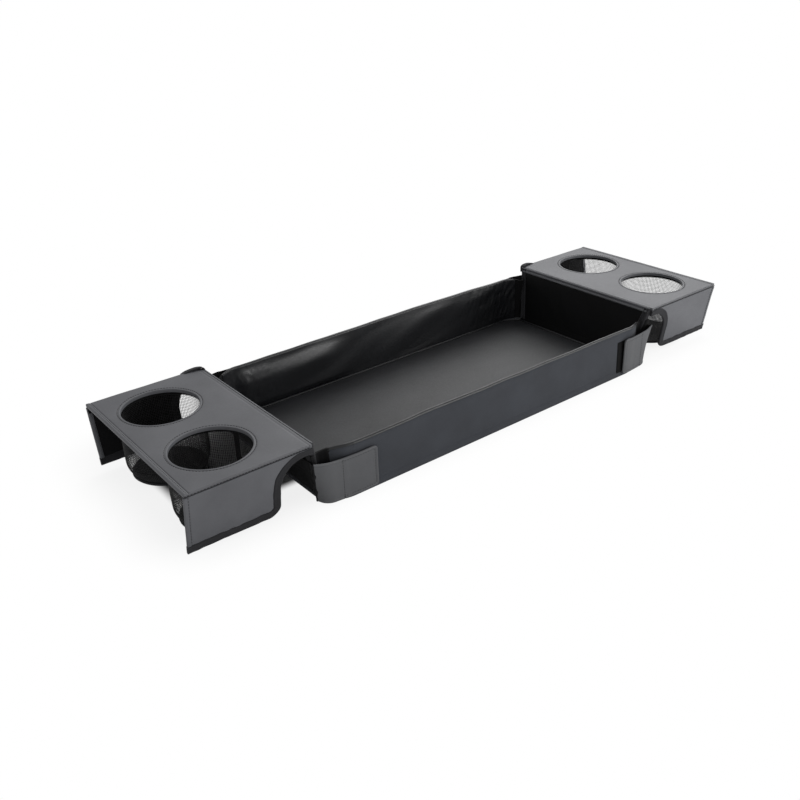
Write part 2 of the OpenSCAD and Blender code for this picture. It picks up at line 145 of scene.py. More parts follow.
def linear(hex_colour):
    """The linear colour of an sRGB hex value such as #5f6063."""
    parts = [int(hex_colour[i:i + 2], 16) / 255 for i in (1, 3, 5)]
    return tuple(c / 12.92 if c <= 0.04045 else ((c + 0.055) / 1.055) ** 2.4 for c in parts) + (1.0,)


def material(name):
    """An empty node material and its tree."""
    made = bpy.data.materials.new(name)
    made.use_nodes = True
    made.node_tree.nodes.clear()
    return made, made.node_tree


def mesh_object(name, points, faces, finish=None, edges=()):
    """A mesh from points in millimetres. Its place is in the mesh."""
    mesh = bpy.data.meshes.new(name)
    mesh.from_pydata([tuple(p) for p in np.asarray(points, float) * MM], edges, faces)
    if finish:
        mesh.materials.append(finish)
    made = bpy.data.objects.new(name, mesh)
    bpy.context.scene.collection.objects.link(made)
    return made


paper, tree = material("white_paper")
rays = add(tree, "ShaderNodeLightPath")
matte = add(tree, "ShaderNodeBsdfDiffuse", {"Color": linear("#f4f4f4")})
glow = add(tree, "ShaderNodeEmission", {"Color": (1, 1, 1, 1), "Strength": 1.0})
spot = add(tree, "ShaderNodeTexCoord")
centred = add(tree, "ShaderNodeVectorMath", {0: spot.outputs["Object"], 1: SHADE_MIDDLE},
              operation="SUBTRACT")
distance = add(tree, "ShaderNodeVectorMath", {0: centred.outputs[0]}, operation="ABSOLUTE")
beyond = add(tree, "ShaderNodeVectorMath", {0: distance.outputs[0], 1: SHADE_HALF}, operation="SUBTRACT")
outside = add(tree, "ShaderNodeVectorMath", {0: beyond.outputs[0], 1: (0, 0, 0)}, operation="MAXIMUM")
away = add(tree, "ShaderNodeVectorMath", {0: outside.outputs[0]}, operation="LENGTH")
under, halo = [
    add(tree, "ShaderNodeMapRange", {
        "Value": away.outputs["Value"], "From Min": near, "From Max": far, "To Min": depth, "To Max": 0.0,
    }, interpolation_type="SMOOTHSTEP")
    for near, far, depth in ((0.0, SHADE_EDGE, 1.0), (HALO_FROM, HALO_TO, HALO_DEPTH))
]
# Painted shade: under the tray the paper is a darker grey, lit as usual
painted_shade_paper = add(tree, "ShaderNodeBsdfDiffuse", {"Color": linear("#a4a4a5")})
seen = glow
for share, other in ((halo.outputs["Result"], matte), (under.outputs["Result"], painted_shade_paper)):
    seen = add(tree, "ShaderNodeMixShader", {0: share, 1: seen.outputs[0], 2: other.outputs[0]})
seen = add(tree, "ShaderNodeMixShader", {
    0: rays.outputs["Is Camera Ray"],
    1: matte.outputs[0],
    2: seen.outputs[0],
})
add(tree, "ShaderNodeOutputMaterial", {"Surface": seen.outputs[0]})
corners = [(x * PAPER_HALF, y * PAPER_HALF, 0) for x, y in ((-1, -1), (1, -1), (1, 1), (-1, 1))]
floor = mesh_object("studio_floor", corners, [(0, 1, 2, 3)], paper)

# Tray floor
# A stiff board lies in a smooth vinyl liner with a little padding under it.
# The outer fabric wraps the board from below and is sewn in under the walls.
# A raised, topstitched seam runs round the floor and follows its corners.
HALF_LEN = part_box("base_cover")[1].x / MM
HALF_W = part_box("base_cover")[1].y / MM
FLOOR_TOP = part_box("floor_liner")[1].z / MM
RIM_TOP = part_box("base_cover")[1].z / MM
CORNER_X = 36.5
CORNER_Y = 19
RIM_W = 6.3
COVER_T = 0.9
WELT_R = 1.4
FLOOR_CUSHION = 1.3
SOFT_X = 40
SOFT_Y = 32
ARC_X = HALF_LEN - CORNER_X
ARC_R = (CORNER_X ** 2 + CORNER_Y ** 2) / (2 * CORNER_Y)
ARC_Y = HALF_W - ARC_R
LINER_T = 0.85
SAME_SPOT = 2e-6
SHARP_TURN = 1.1


def wrinkle(x, y, z, size, seed=0.0):
    """Smooth noise between about -1 and 1, with waves of that size."""
    return noise.noise(Vector((x / size + seed, y / size - seed, z / size + 0.37 * seed)))


def half_width(x, inset):
    """Half the tray's width at x, drawn in by inset."""
    reach = abs(x) - ARC_X
    if reach <= 0:
        return HALF_W - inset
    return ARC_Y + math.sqrt(max((ARC_R - inset) ** 2 - reach ** 2, 0.0))


def plan_loop(inset, step=4.0):
    """The tray's outline, drawn in by inset, anticlockwise from above."""
    arc_end = math.asin(max(CORNER_X - inset, 0.5) / (ARC_R - inset))
    turns = np.linspace(0, arc_end, 14)
    arc = [(ARC_X + (ARC_R - inset) * math.sin(a), -ARC_Y - (ARC_R - inset) * math.cos(a)) for a in turns]
    rises = np.linspace(arc[-1][1], -arc[-1][1], int(2 * (HALF_W - CORNER_Y) / step))[1:-1]
    right = arc + [(arc[-1][0], y) for y in rises] + [(x, -y) for x, y in reversed(arc)]
    runs = np.linspace(-ARC_X, ARC_X, int(2 * ARC_X / step))[1:-1]
    front = [(x, -HALF_W + inset) for x in runs]
    left = [(-x, -y) for x, y in right]
    rear = [(-x, -y) for x, y in front]
    return np.array(front + right + rear + left)


def tidy(made):
    """Merges doubles, turns the faces outwards and shades them smooth, but for sharp edges."""
    work = bmesh.new()
    work.from_mesh(made.data)
    bmesh.ops.remove_doubles(work, verts=work.verts, dist=SAME_SPOT)
    bmesh.ops.recalc_face_normals(work, faces=work.faces)
    for face in work.faces:
        face.smooth = True
    for edge in work.edges:
        edge.smooth = edge.calc_face_angle(0.0) < SHARP_TURN
    work.to_mesh(made.data)
    work.free()
    return made


def belts(rows, count, ring=False, first=0):
    """Faces between rows of closed loops, which start at a first point."""
    faces = []
    for i in range(rows if ring else rows - 1):
        j = (i + 1) % rows
        for k in range(count):
            m = (k + 1) % count
            faces.append([first + n for n in (i * count + k, i * count + m, j * count + m, j * count + k)])
    return faces


def loft(name, loops, finish, ring=False):
    """A closed skin through loops of points. The ends are capped, or joined in a ring."""
    loops = np.asarray(loops, float)
    rows, count = loops.shape[:2]
    faces = belts(rows, count, ring)
    if not ring:
        faces.append(tuple(range(count)))
        faces.append(tuple((rows - 1) * count + k for k in range(count)))
    return tidy(mesh_object(name, loops.reshape(-1, 3), faces, finish))


def shell(name, outer, inner, finish):
    """A closed skin between two grids of points, joined round their edges."""
    outer, inner = np.asarray(outer, float), np.asarray(inner, float)
    rows, cols = outer.shape[:2]
    size = rows * cols
    faces = []
    for i in range(rows - 1):
        for k in range(cols - 1):
            a, b, c, d = i * cols + k, i * cols + k + 1, (i + 1) * cols + k + 1, (i + 1) * cols + k
            faces.append((a, b, c, d))
            faces.append((size + a, size + d, size + c, size + b))
    edge = list(range(cols)) + [i * cols + cols - 1 for i in range(1, rows)]
    edge += [(rows - 1) * cols + k for k in range(cols - 2, -1, -1)]
    edge += [i * cols for i in range(rows - 2, 0, -1)]
    for n, a in enumerate(edge):
        b = edge[(n + 1) % len(edge)]
        faces.append((a, size + a, size + b, b))
    points = np.concatenate([outer.reshape(-1, 3), inner.reshape(-1, 3)])
    return tidy(mesh_object(name, points, faces, finish))


def bump_from(tree, height, strength, depth_mm):
    """A normal that follows a height, with its real depth in millimetres."""
    made = add(tree, "ShaderNodeBump", {"Height": height, "Strength": strength, "Distance": depth_mm * MM})
    return made.outputs["Normal"]


def object_coordinates(tree, stretch=(1, 1, 1), turn=(0, 0, 0)):
    """Object coordinates in millimetres, stretched and turned."""
    place = add(tree, "ShaderNodeTexCoord")
    scale = tuple(s / MM for s in stretch)
    return add(tree, "ShaderNodeMapping", {
        "Vector": place.outputs["Object"],
        "Scale": scale,
        "Rotation": turn,
    }).outputs[0]


def between(tree, factor, low, high):
    """A colour that goes from low to high with a factor from 0 to 1."""
    ramp = add(tree, "ShaderNodeValToRGB", {"Fac": factor})
    ramp.color_ramp.elements[0].color = linear(low)
    ramp.color_ramp.elements[1].color = linear(high)
    ramp.color_ramp.elements[0].position = 0.3
    ramp.color_ramp.elements[1].position = 0.7
    return ramp.outputs["Color"]


def ranged(tree, factor, low, high):
    """A number that goes from low to high with a factor from 0.3 to 0.7."""
    return add(tree, "ShaderNodeMapRange", {
        "Value": factor, "From Min": 0.3, "From Max": 0.7, "To Min": low, "To Max": high,
    }).outputs["Result"]


def finish_with(tree, inputs):
    """Ends a material in one principled shader."""
    shader = add(tree, "ShaderNodeBsdfPrincipled", inputs)
    add(tree, "ShaderNodeOutputMaterial", {"Surface": shader.outputs[0]})


def vinyl(name, low, high, rough_low, rough_high, grain_mm, grain_depth, shine=0.5):
    """Coated vinyl: small rounded pebbles of grain over a slow change of tone."""
    made, tree = material(name)
    place = object_coordinates(tree)
    pebbles = add(tree, "ShaderNodeTexVoronoi", {"Vector": place, "Scale": 1 / grain_mm}, feature="SMOOTH_F1")
    creases = add(tree, "ShaderNodeTexNoise", {"Vector": place, "Scale": 0.35 / grain_mm, "Detail": 3})
    height = add(tree, "ShaderNodeMath", {0: pebbles.outputs["Distance"], 1: creases.outputs["Fac"]},
                 operation="ADD").outputs[0]
    tone = add(tree, "ShaderNodeTexNoise", {"Vector": place, "Scale": 1 / 70, "Detail": 4, "Roughness": 0.6})
    finish_with(tree, {
        "Base Color": between(tree, tone.outputs["Fac"], low, high),
        "Roughness": ranged(tree, creases.outputs["Fac"], rough_low, rough_high),
        "IOR": 1.5,
        "Specular IOR Level": shine,
        "Normal": bump_from(tree, height, 0.6, grain_depth),
    })
    return made


# Smooth PVC-coated liner: dark, with fine grain. On the walls it keeps its sheen
liner_vinyl = vinyl("pvc_liner", "#151618", "#1c1d20", 0.33, 0.43, 0.7, 0.05)

# The same liner on the floor, a little lighter and less glossy
floor_vinyl = vinyl("pvc_floor_liner", "#1e1f21", "#26272a", 0.5, 0.6, 0.7, 0.05, shine=0.4)


def woven(name, colour_low, colour_high, pitch_mm, depth_mm, rough, fuzz):
    """Cloth: threads that cross at a pitch, with a dry, slightly fuzzy surface."""
    made, tree = material(name)
    place = object_coordinates(tree)
    lint = add(tree, "ShaderNodeTexNoise", {"Vector": place, "Scale": 1 / pitch_mm, "Detail": 4,
                                            "Roughness": 0.7})
    tone = add(tree, "ShaderNodeTexNoise", {"Vector": place, "Scale": 1 / 45, "Detail": 3})
    shade = add(tree, "ShaderNodeMath", {0: lint.outputs["Fac"], 1: tone.outputs["Fac"]}, operation="ADD")
    half = add(tree, "ShaderNodeMath", {0: shade.outputs[0], 1: 0.5}, operation="MULTIPLY")
    finish_with(tree, {
        "Base Color": between(tree, half.outputs[0], colour_low, colour_high),
        "Roughness": rough,
        "Specular IOR Level": 0.2,
        "Sheen Weight": fuzz,
        "Sheen Roughness": 0.6,
        "Normal": bump_from(tree, lint.outputs["Fac"], 0.8, depth_mm),
    })
    return made


# Brushed loop fabric: matte blue-grey, with short fibres that scatter the light
loop_fabric = woven("brushed_loop_fabric", "#2f3136", "#3c3f45", 0.7, 0.12, 0.95, 0.12)


def floor_height(x, y):
    """The padded floor rises between its seams and is a little uneven."""
    near_x = min(1.0, (HALF_LEN - RIM_W - abs(x)) / SOFT_X)
    near_y = min(1.0, (half_width(x, RIM_W) - abs(y)) / SOFT_Y)
    rise = max(near_x, 0.0) ** 0.6 * max(near_y, 0.0) ** 0.6
    dents = 0.35 * wrinkle(x, y, 0, 55) + 0.18 * wrinkle(x, y, 0, 21, 4.0)
    return FLOOR_TOP + rise * (FLOOR_CUSHION + dents)


def floor_grid(height):
    """A grid of points over the liner, at a height that depends on the place."""
    inset = COVER_T + 0.3
    columns = np.linspace(inset - HALF_LEN, HALF_LEN - inset, 200)
    return [[(x, v * half_width(x, inset), height(x, v * half_width(x, inset))) for x in columns]
            for v in np.linspace(-1, 1, 90)]


def dress(made, body, node=None):
    """A finished piece rides on a body. It may replace a CAD node, which is hidden."""
    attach(made, body)
    if node:
        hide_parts(node)


liner = shell("tray_floor_liner", floor_grid(floor_height), floor_grid(lambda x, y: FLOOR_TOP - LINER_T),
              floor_vinyl)
dress(liner, "tray_base", "floor_liner")

BOTTOM_ROUND = 1.8
UNDER_INSET = 30
wrap = [(UNDER_INSET, 0.0)]
wrap += [(BOTTOM_ROUND * (1 - math.sin(a)), BOTTOM_ROUND * (1 - math.cos(a)))
         for a in np.linspace(0, math.pi / 2, 5)]
wrap += [(0, 3.2), (0, RIM_TOP - 0.4), (0.4, RIM_TOP), (RIM_W - 0.2, RIM_TOP), (RIM_W, FLOOR_TOP - 1.2),
         (UNDER_INSET, FLOOR_TOP - 1.2)]
loops = [[(x, y, z) for x, y in plan_loop(inset)] for inset, z in wrap]
dress(loft("tray_base_cover", loops, loop_fabric), "tray_base", "base_cover")


def node_group(name, inputs, output):
    """An empty Geometry Nodes tree with named inputs, and the sockets that give them."""
    tree = bpy.data.node_groups.new(name, "GeometryNodeTree")
    for label, kind in inputs.items():
        tree.interface.new_socket(label, in_out="INPUT", socket_type=f"NodeSocket{kind}")
    tree.interface.new_socket(output, in_out="OUTPUT", socket_type="NodeSocketGeometry")
    return tree, add(tree, "NodeGroupInput").outputs


def stitching_tree():
    """Lays short thread stitches along seam lines, from their real sizes in metres."""
    tree, given = node_group("stitching", {
        "Seam": "Geometry", "Stitch": "Float", "Gap": "Float", "Thread": "Float", "Finish": "Material",
    }, "Stitches")
    pitch = add(tree, "ShaderNodeMath", {0: given["Stitch"], 1: given["Gap"]}, operation="ADD")
    line = add(tree, "GeometryNodeMeshToCurve", {"Mesh": given["Seam"]})
    spots = add(tree, "GeometryNodeResampleCurve", {"Curve": line.outputs[0], "Length": pitch.outputs[0]},
                mode="LENGTH")
    along = add(tree, "GeometryNodeInputTangent")
    turn = add(tree, "FunctionNodeAlignRotationToVector", {"Vector": along.outputs[0]}, axis="X")
    half = add(tree, "ShaderNodeMath", {0: given["Stitch"], 1: 0.5}, operation="MULTIPLY")
    bead = add(tree, "GeometryNodeMeshUVSphere", {"Segments": 8, "Rings": 5, "Radius": 1.0})
    scale = add(tree, "ShaderNodeCombineXYZ", {0: half.outputs[0], 1: given["Thread"], 2: given["Thread"]})
    thread = add(tree, "GeometryNodeTransform", {"Geometry": bead.outputs[0], "Scale": scale.outputs[0]})
    laid = add(tree, "GeometryNodeInstanceOnPoints", {
        "Points": spots.outputs[0], "Instance": thread.outputs[0], "Rotation": turn.outputs[0],
    })
    real = add(tree, "GeometryNodeRealizeInstances", {"Geometry": laid.outputs[0]})
    smooth = add(tree, "GeometryNodeSetShadeSmooth", {"Geometry": real.outputs[0]})
    dressed = add(tree, "GeometryNodeSetMaterial",
                  {"Geometry": smooth.outputs[0], "Material": given["Finish"]})
    add(tree, "NodeGroupOutput", {"Stitches": dressed.outputs[0]})
    return tree


def plain(made):
    """Turns a piece with its modifiers into a plain mesh."""
    depsgraph = bpy.context.evaluated_depsgraph_get()
    mesh = bpy.data.meshes.new_from_object(made.evaluated_get(depsgraph), depsgraph=depsgraph)
    made.modifiers.clear()
    old, made.data = made.data, mesh
    mesh.name = made.name
    bpy.data.meshes.remove(old)
    return made


def grown(made, tree, inputs):
    """Runs a node tree on an object with named inputs, and keeps the plain mesh."""
    modifier = made.modifiers.new("grow", "NODES")
    modifier.node_group = tree
    for item in tree.interface.items_tree:
        if item.in_out == "INPUT" and item.name in inputs:
            modifier[item.identifier] = inputs[item.name]
    return plain(made)


def line_object(name, lines):
    """Edges through lists of points in millimetres."""
    points, edges = [], []
    for line in lines:
        edges += [(len(points) + k, len(points) + k + 1) for k in range(len(line) - 1)]
        points += list(line)
    return mesh_object(name, points, [], edges=edges)


stitching = stitching_tree()
STITCH = 2.6
STITCH_GAP = 1.0
THREAD_R = 0.26


def stitches(name, lines, body, finish, stitch=STITCH, gap=STITCH_GAP, thread=THREAD_R):
    """Rows of stitches along lines of points in millimetres, on one body."""
    made = grown(line_object(name, lines), stitching, {
        "Stitch": stitch * MM, "Gap": gap * MM, "Thread": thread * MM, "Finish": finish,
    })
    dress(made, body)


def grained(name, kind, texture, low, high, rough, strength, depth_mm, height="Fac", stretch=(1, 1, 1),
            shine=0.5):
    """A material whose one fine texture gives both its tone and its relief."""
    made, tree = material(name)
    grain = add(tree, kind, {"Vector": object_coordinates(tree, stretch), **texture}).outputs[height]
    finish_with(tree, {
        "Base Color": between(tree, grain, low, high),
        "Roughness": rough,
        "Specular IOR Level": shine,
        "Normal": bump_from(tree, grain, strength, depth_mm),
    })
    return made


# Bonded polyester thread: a dark twist with a slight shine
thread_black = grained("polyester_thread", "ShaderNodeTexWave", {"Scale": 1 / 0.5, "Distortion": 0.4},
                       "#1b1b1c", "#2c2c2e", rough=0.5, strength=0.5, depth_mm=0.05)

seam_middle = RIM_W + WELT_R + 0.25
loops = []
for a in np.linspace(0, 2 * math.pi, 14, endpoint=False):
    seam_z = FLOOR_TOP + 0.85 * WELT_R * (1 + math.sin(a)) + 0.05
    loops.append([(x, y, seam_z) for x, y in plan_loop(seam_middle - WELT_R * math.cos(a))])
seam = loft("floor_raised_seam", loops, liner_vinyl, ring=True)
dress(seam, "tray_base", "floor_welts")

line = [(x, y, floor_height(x, y) + 0.12) for x, y in plan_loop(seam_middle + WELT_R + 0.7)]
stitches("floor_seam_stitches", [line + line[:1]], "tray_base", thread_black, thread=0.36)

# Stiff boards
# Grey fibreboard and polypropylene sheets stiffen the floor, the walls and the
# panels. They are sewn in and don't show, apart from a raw edge in a gap.
fibreboard = grained("fibreboard", "ShaderNodeTexNoise", {"Scale": 1 / 1.5, "Detail": 5, "Roughness": 0.7},
                     "#6f6a62", "#8a847a", rough=0.85, strength=0.5, depth_mm=0.1, stretch=(1, 1, 4))
for node_name in ("floor_board", "left_end_board", "right_end_board", "left_panel_board",
                  "right_panel_board"):
    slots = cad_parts[node_name].data.materials
    slots.clear()
    slots.append(fibreboard)

# Long walls
# Each long wall is a soft board in a sewn jacket. Smooth vinyl lines its inner
# face and folds over the top edge as a thin lip, and brushed fabric covers the
# outside. The jackets bow a little between their ends, and the vinyl creases.
WALL_T = 6.5
WALL_TOP_T = 4.4
WALL_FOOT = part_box("front_wall_cover")[0].z / MM
WALL_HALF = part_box("front_wall_cover")[1].x / MM
LIP_H = 2.7
LIP_PROUD = 0.35
JACKET_T = 0.8
WALL_BOARD_IN = JACKET_T + 0.15
WALL_BOARD_T = 2.4
LEAN_CURVE = 1.4


def step_up(value, low, high):
    """Rises smoothly from 0 to 1 as value goes from low to high."""
    t = min(max((value - low) / (high - low), 0.0), 1.0)
    return t * t * (3 - 2 * t)


def ridge(value, middle, width):
    """A soft ridge with a height of 1 at its middle."""
    return math.exp(-((value - middle) / width) ** 2)


def front_bow(x):
    """How far the front wall's top edge stands out from its foot."""
    return -1.0 + 1.6 * wrinkle(x, 0, 0, 62, 2.0) + 1.6 * step_up(-x, 120, 200)


def back_bow(x):
    """The same for the back wall, which bows out most a little right of its middle."""
    return 4.2 * ridge(x, 60, 130) + 0.9 * wrinkle(x, 0, 0, 75, 5.0) - 1.5


def soft_fold(x, z, slope, length, width, seed):
    """Long shallow folds that run up the wall at a slope."""
    along = x * math.cos(slope) + z * math.sin(slope)
    across = -x * math.sin(slope) + z * math.cos(slope)
    return noise.noise(Vector((along / length + seed, across / width, seed)))


def front_liner_relief(x, z):
    """Shallow folds and fine unevenness."""
    return 0.7 * soft_fold(x, z, 0.35, 110, 32, 3.0) + 0.2 * wrinkle(x, 0, z, 14, 7.0)


def back_liner_relief(x, z):
    """A soft fullness in the left half, slanting folds, and creases near both ends."""
    slant = (z - 40 - 0.2 * (x + 35)) / 62 + 0.15 * wrinkle(x, 0, 2 * z, 120, 1.0)
    left = step_up(-x, 45, 105)
    broad = -0.6 * (1 - 0.7 * left) * math.sin(2 * math.pi * slant)
    broad += 1.3 * soft_fold(x, z, 0.25, 110, 22, 8.0)
    broad += 4.0 * left * (1 - step_up(-x, 222, 246)) * (1 - step_up(z, 44, 72))
    creased = step_up(x, 120, 215) + 0.5 * step_up(-x, 150, 215)
    ridges = abs(soft_fold(x, z, 1.1, 40, 9, 4.0)) + 0.6 * abs(wrinkle(x, 0, z, 9, 2.0))
    return broad + 1.6 * creased * (0.35 - ridges)


def cover_relief(x, z):
    """The outer fabric is nearly flat."""
    return 0.45 * wrinkle(x, 0, z, 60, 9.0) + 0.12 * wrinkle(x, 0, z, 12, 1.0)


def mix(a, b, t):
    """The value between a and b at t."""
    return a + (b - a) * t


def jacket_rows(top, part):
    """The section of a jacket, as rows of y, z and the way out. y is 0 on the outer face."""
    r = WALL_TOP_T / 2
    seam = top - LIP_H
    if part == "cover":
        return [(0, z, -1, 0) for z in np.linspace(WALL_FOOT, seam - 0.2, 26)]
    lip = [(0, z, -1, 0) for z in (seam, seam + 0.15, top - r)]
    lip += [(r - r * math.cos(a), top - r + r * math.sin(a), -math.cos(a), math.sin(a))
            for a in np.linspace(0, math.pi, 13)[1:]]
    face = [(mix(WALL_T, WALL_TOP_T, ((z - WALL_FOOT) / (top - r - WALL_FOOT)) ** 1.6), z, 1, 0)
            for z in np.linspace(top - r, WALL_FOOT, 34)[1:]]
    return {"lip": lip, "face": lip[-1:] + face, "liner": lip + face}[part]


def jacket_bulge(x, z, out_y, top, part, relief):
    """How far a jacket's face stands out. The lip stands proud over a sunken seam."""
    if part != "cover" and out_y < 0:
        return LIP_PROUD * min(1.0, (z - top + LIP_H) / 0.15 + 0.3)
    sunken = 0.5 * ridge(z, top - LIP_H, 0.9) if part == "cover" else 0.0
    held = min(1.0, (z - WALL_FOOT) / 8) * (0.35 + 0.65 * min(1.0, (top - z) / 12))
    return relief(x, z) * held - sunken


def up_wall(z, flip):
    """How far up a long wall a height lies: 0 at its foot and 1 at its top."""
    return (z - WALL_FOOT) / (WALL_TOPS[flip] - WALL_FOOT)


def wall_y(x, z, depth, flip):
    """Where a front wall stands at a depth from its outer face, as it leans and bows out."""
    return -HALF_W + depth - BOWS[flip](x) * up_wall(z, flip) ** LEAN_CURVE


def sag(x, height):
    """How far a long wall's edge rises or sinks at x. The foot at height 0 stays level."""
    return 0.6 * wrinkle(x, 0, 0, 48, 3.0) * height ** 2


def skin(name, rows, finish):
    """A closed skin from rows of pairs of points: one on its face, one on its lining."""
    pairs = np.array(rows, float)
    return shell(name, pairs[:, :, 0], pairs[:, :, 1], finish)


def jacket(name, flip, part, relief, finish):
    """A part of a wall's jacket: the liner's face, its lip or the cover, as a closed skin."""
    top = WALL_TOPS[flip]
    rows = []
    for depth, z, out_y, out_z in jacket_rows(top, part):
        row = []
        for x in np.linspace(-WALL_HALF, WALL_HALF, 236):
            lift = jacket_bulge(x, z, out_y, top, part, relief)
            rest = Vector((x, wall_y(x, z, depth, flip), z + sag(x, up_wall(z, flip))))
            out = Vector((0, out_y, out_z))
            row.append([(spot.x, spot.y * flip, spot.z)
                        for spot in (rest + out * lift, rest - out * JACKET_T)])
        rows.append(row)
    return skin(name, rows, finish)


def wall_board(name, flip):
    """The stiffener in a jacket. It bows with the wall."""
    depths = (WALL_BOARD_IN, WALL_BOARD_IN + WALL_BOARD_T)
    rows = [[[(x, wall_y(x, z, depth, flip) * flip, z) for depth in depths]
             for x in np.linspace(1 - WALL_HALF, WALL_HALF - 1, 90)]
            for z in np.linspace(WALL_FOOT + 1, WALL_TOPS[flip] - 2, 14)]
    return skin(name, rows, fibreboard)


# Pieces are drawn at the front and mirrored to the back by this factor
ENDS = ((1, "front"), (-1, "back"))
WALL_TOPS = {flip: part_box(f"{end_name}_wall_liner")[1].z / MM for flip, end_name in ENDS}
BOWS = {1: front_bow, -1: back_bow}
LINER_RELIEFS = {1: front_liner_relief, -1: back_liner_relief}
for flip, end_name in ENDS:
    body = f"{end_name}_wall"
    face = jacket(f"{body}_face_skin", flip, "face", LINER_RELIEFS[flip], liner_vinyl)
    dress(face, body, f"{body}_liner")
    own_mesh(face)
    lip = jacket(f"{body}_lip_skin", flip, "lip", LINER_RELIEFS[flip], liner_vinyl)
    dress(lip, body, f"{body}_liner")
    cover = jacket(f"{body}_cover_skin", flip, "cover", cover_relief, loop_fabric)
    dress(cover, body, f"{body}_cover")
    dress(wall_board(f"{body}_stiffener", flip), body, f"{body}_board")

# End walls
# Each end wall leans out from the floor to its cup panel and widens on the way.
# Vinyl lines it, darker and duller than on the long walls: painted shade. Near
# the top the panel's own skin comes down over it in two ridges, and matte tape
# binds its two upright edges.
END_T = 5.7
END_LEAN = math.radians(13)
END_HALF = HALF_W - CORNER_Y - 3
END_FLARE = 18
PANEL_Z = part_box("right_panel_skin")[1].z / MM
END_RISE = PANEL_Z - WALL_FOOT
LINER_LEN = (END_RISE - 0.3 - END_T * math.sin(END_LEAN)) / math.cos(END_LEAN)
COVER_LEN = LINER_LEN - 4.3
BAND_H = 7.5
BAND_GROOVE = 3.7
TAPE_EDGE_W = 8.5
BAND_SEAM_HALF = 118


def end_point(y, up, deep):
    """A point on the leaning right-hand end wall: up the slope, and in from its outer face."""
    return (
        HALF_LEN - deep * math.cos(END_LEAN) + up * math.sin(END_LEAN),
        y,
        WALL_FOOT + deep * math.sin(END_LEAN) + up * math.cos(END_LEAN),
    )


def end_half(up):
    """Half the end wall's width at a distance up its slope."""
    return END_HALF + END_FLARE * up * math.cos(END_LEAN) / END_RISE


def end_liner_relief(y, up):
    """Faint waves that fade towards the edges."""
    edge = min(1.0, up / 10) * min(1.0, (end_half(up) - abs(y)) / 10)
    return edge * (0.6 * wrinkle(0, y, up, 46, 3.0) + 0.25 * soft_fold(y, up, 0.9, 50, 12, 6.0))


def band_relief(y, up):
    """Two ridges run across below the panel's fold, with a stitched groove between."""
    below = LINER_LEN - up
    low_ridge = (1.25 + 0.15 * wrinkle(0, y, 0, 18, 2.0)) * ridge(below, 6.0, 1.0)
    return 0.5 + low_ridge + 0.9 * ridge(below, 1.3, 1.1) - 0.3 * ridge(below, BAND_GROOVE, 0.7)


def end_cover_relief(y, up):
    """The outer fabric sags in two curved folds between its seams."""
    dip = 9 - 9 * (abs(y) / END_HALF) ** 2
    folds = sum(ridge(up + dip, middle, 1.4) for middle in (32, 57))
    puff = abs(math.sin(math.pi * (up + dip) / 27))
    edge = min(1.0, up / 5) * min(1.0, (COVER_LEN - up) / 5) * min(1.0, (end_half(up) - 12 - abs(y)) / 10)
    return max(edge, 0.0) * (0.9 * puff - 0.8 * folds)


# Pieces are drawn on the right and mirrored to the left by this one
SIDES = ((-1, "left"), (1, "right"))


def mirrored(points, side, flip=1):
    """Points of the front right-hand piece, mirrored to another corner."""
    return [(x * side, y * flip, z) for x, y, z in points]


def end_skin(name, side, slope, relief, inward, deep, thick, finish):
    """A skin on an end wall, at steps up its slope. Inward is 1 on the liner side."""
    rows = []
    for up in slope:
        row = []
        for v in np.linspace(-1, 1, 120):
            y = v * (end_half(up) - 0.4)
            depths = (deep + inward * relief(y, up), deep - inward * thick)
            row.append(mirrored([end_point(y, up, depth) for depth in depths], side))
        rows.append(row)
    return skin(name, rows, finish)


# Black woven lining, as on the gussets, the cups' bases and under the panels
black_fabric = woven("black_woven_lining", "#08080a", "#111112", 0.5, 0.08, 0.85, 0.03)

# The same liner on the end walls, with painted shade: darker, and duller so that it reflects little
shaded_end_vinyl = vinyl("pvc_end_liner_painted_shade", "#060607", "#0a0a0b", 0.5, 0.6, 0.7, 0.05, shine=0.15)

# Leatherette on the panels and flaps: matte, with a fine embossed grain
leatherette = vinyl("embossed_leatherette", "#535458", "#5f6064", 0.5, 0.6, 0.8, 0.06)

# Woven binding tape: matte polyester with fine ribs across its run
binding_tape = woven("polyester_binding_tape", "#202022", "#2e2e31", 0.6, 0.1, 0.9, 0.05)


def edge_tape(name, side, flip):
    """Tape folded round an upright edge of an end wall, with a ridge at each sewn side."""
    loops = []
    for up in np.linspace(0.4, LINER_LEN - 1.5, 46):
        half = end_half(up)
        wave = 0.3 * wrinkle(0, -flip * 40, up, 12, 3.0 + side)
        low = half - TAPE_EDGE_W
        section = [
            (low, END_T - 0.2), (low + 0.1, END_T + 0.9 + wave), (low + 1.2, END_T + 1.8 + wave),
            (low + 2.5, END_T + 0.9), (half - 4.6, END_T + 0.35), (half - 3.2, END_T + 0.9),
            (half - 1.8, END_T + 1.9 - wave), (half - 0.4, END_T + 1.4), (half + 0.6, END_T + 0.1),
            (half + 0.75, END_T - 2), (half + 0.75, 1.8), (half + 0.4, 0.3), (half - 0.8, -0.22),
            (half - 4, -0.12), (low + 0.6, -0.22), (low, 0.2),
        ]
        loops.append(mirrored([end_point(-y * flip, up, deep) for y, deep in section], side))
    return loft(name, loops, binding_tape)


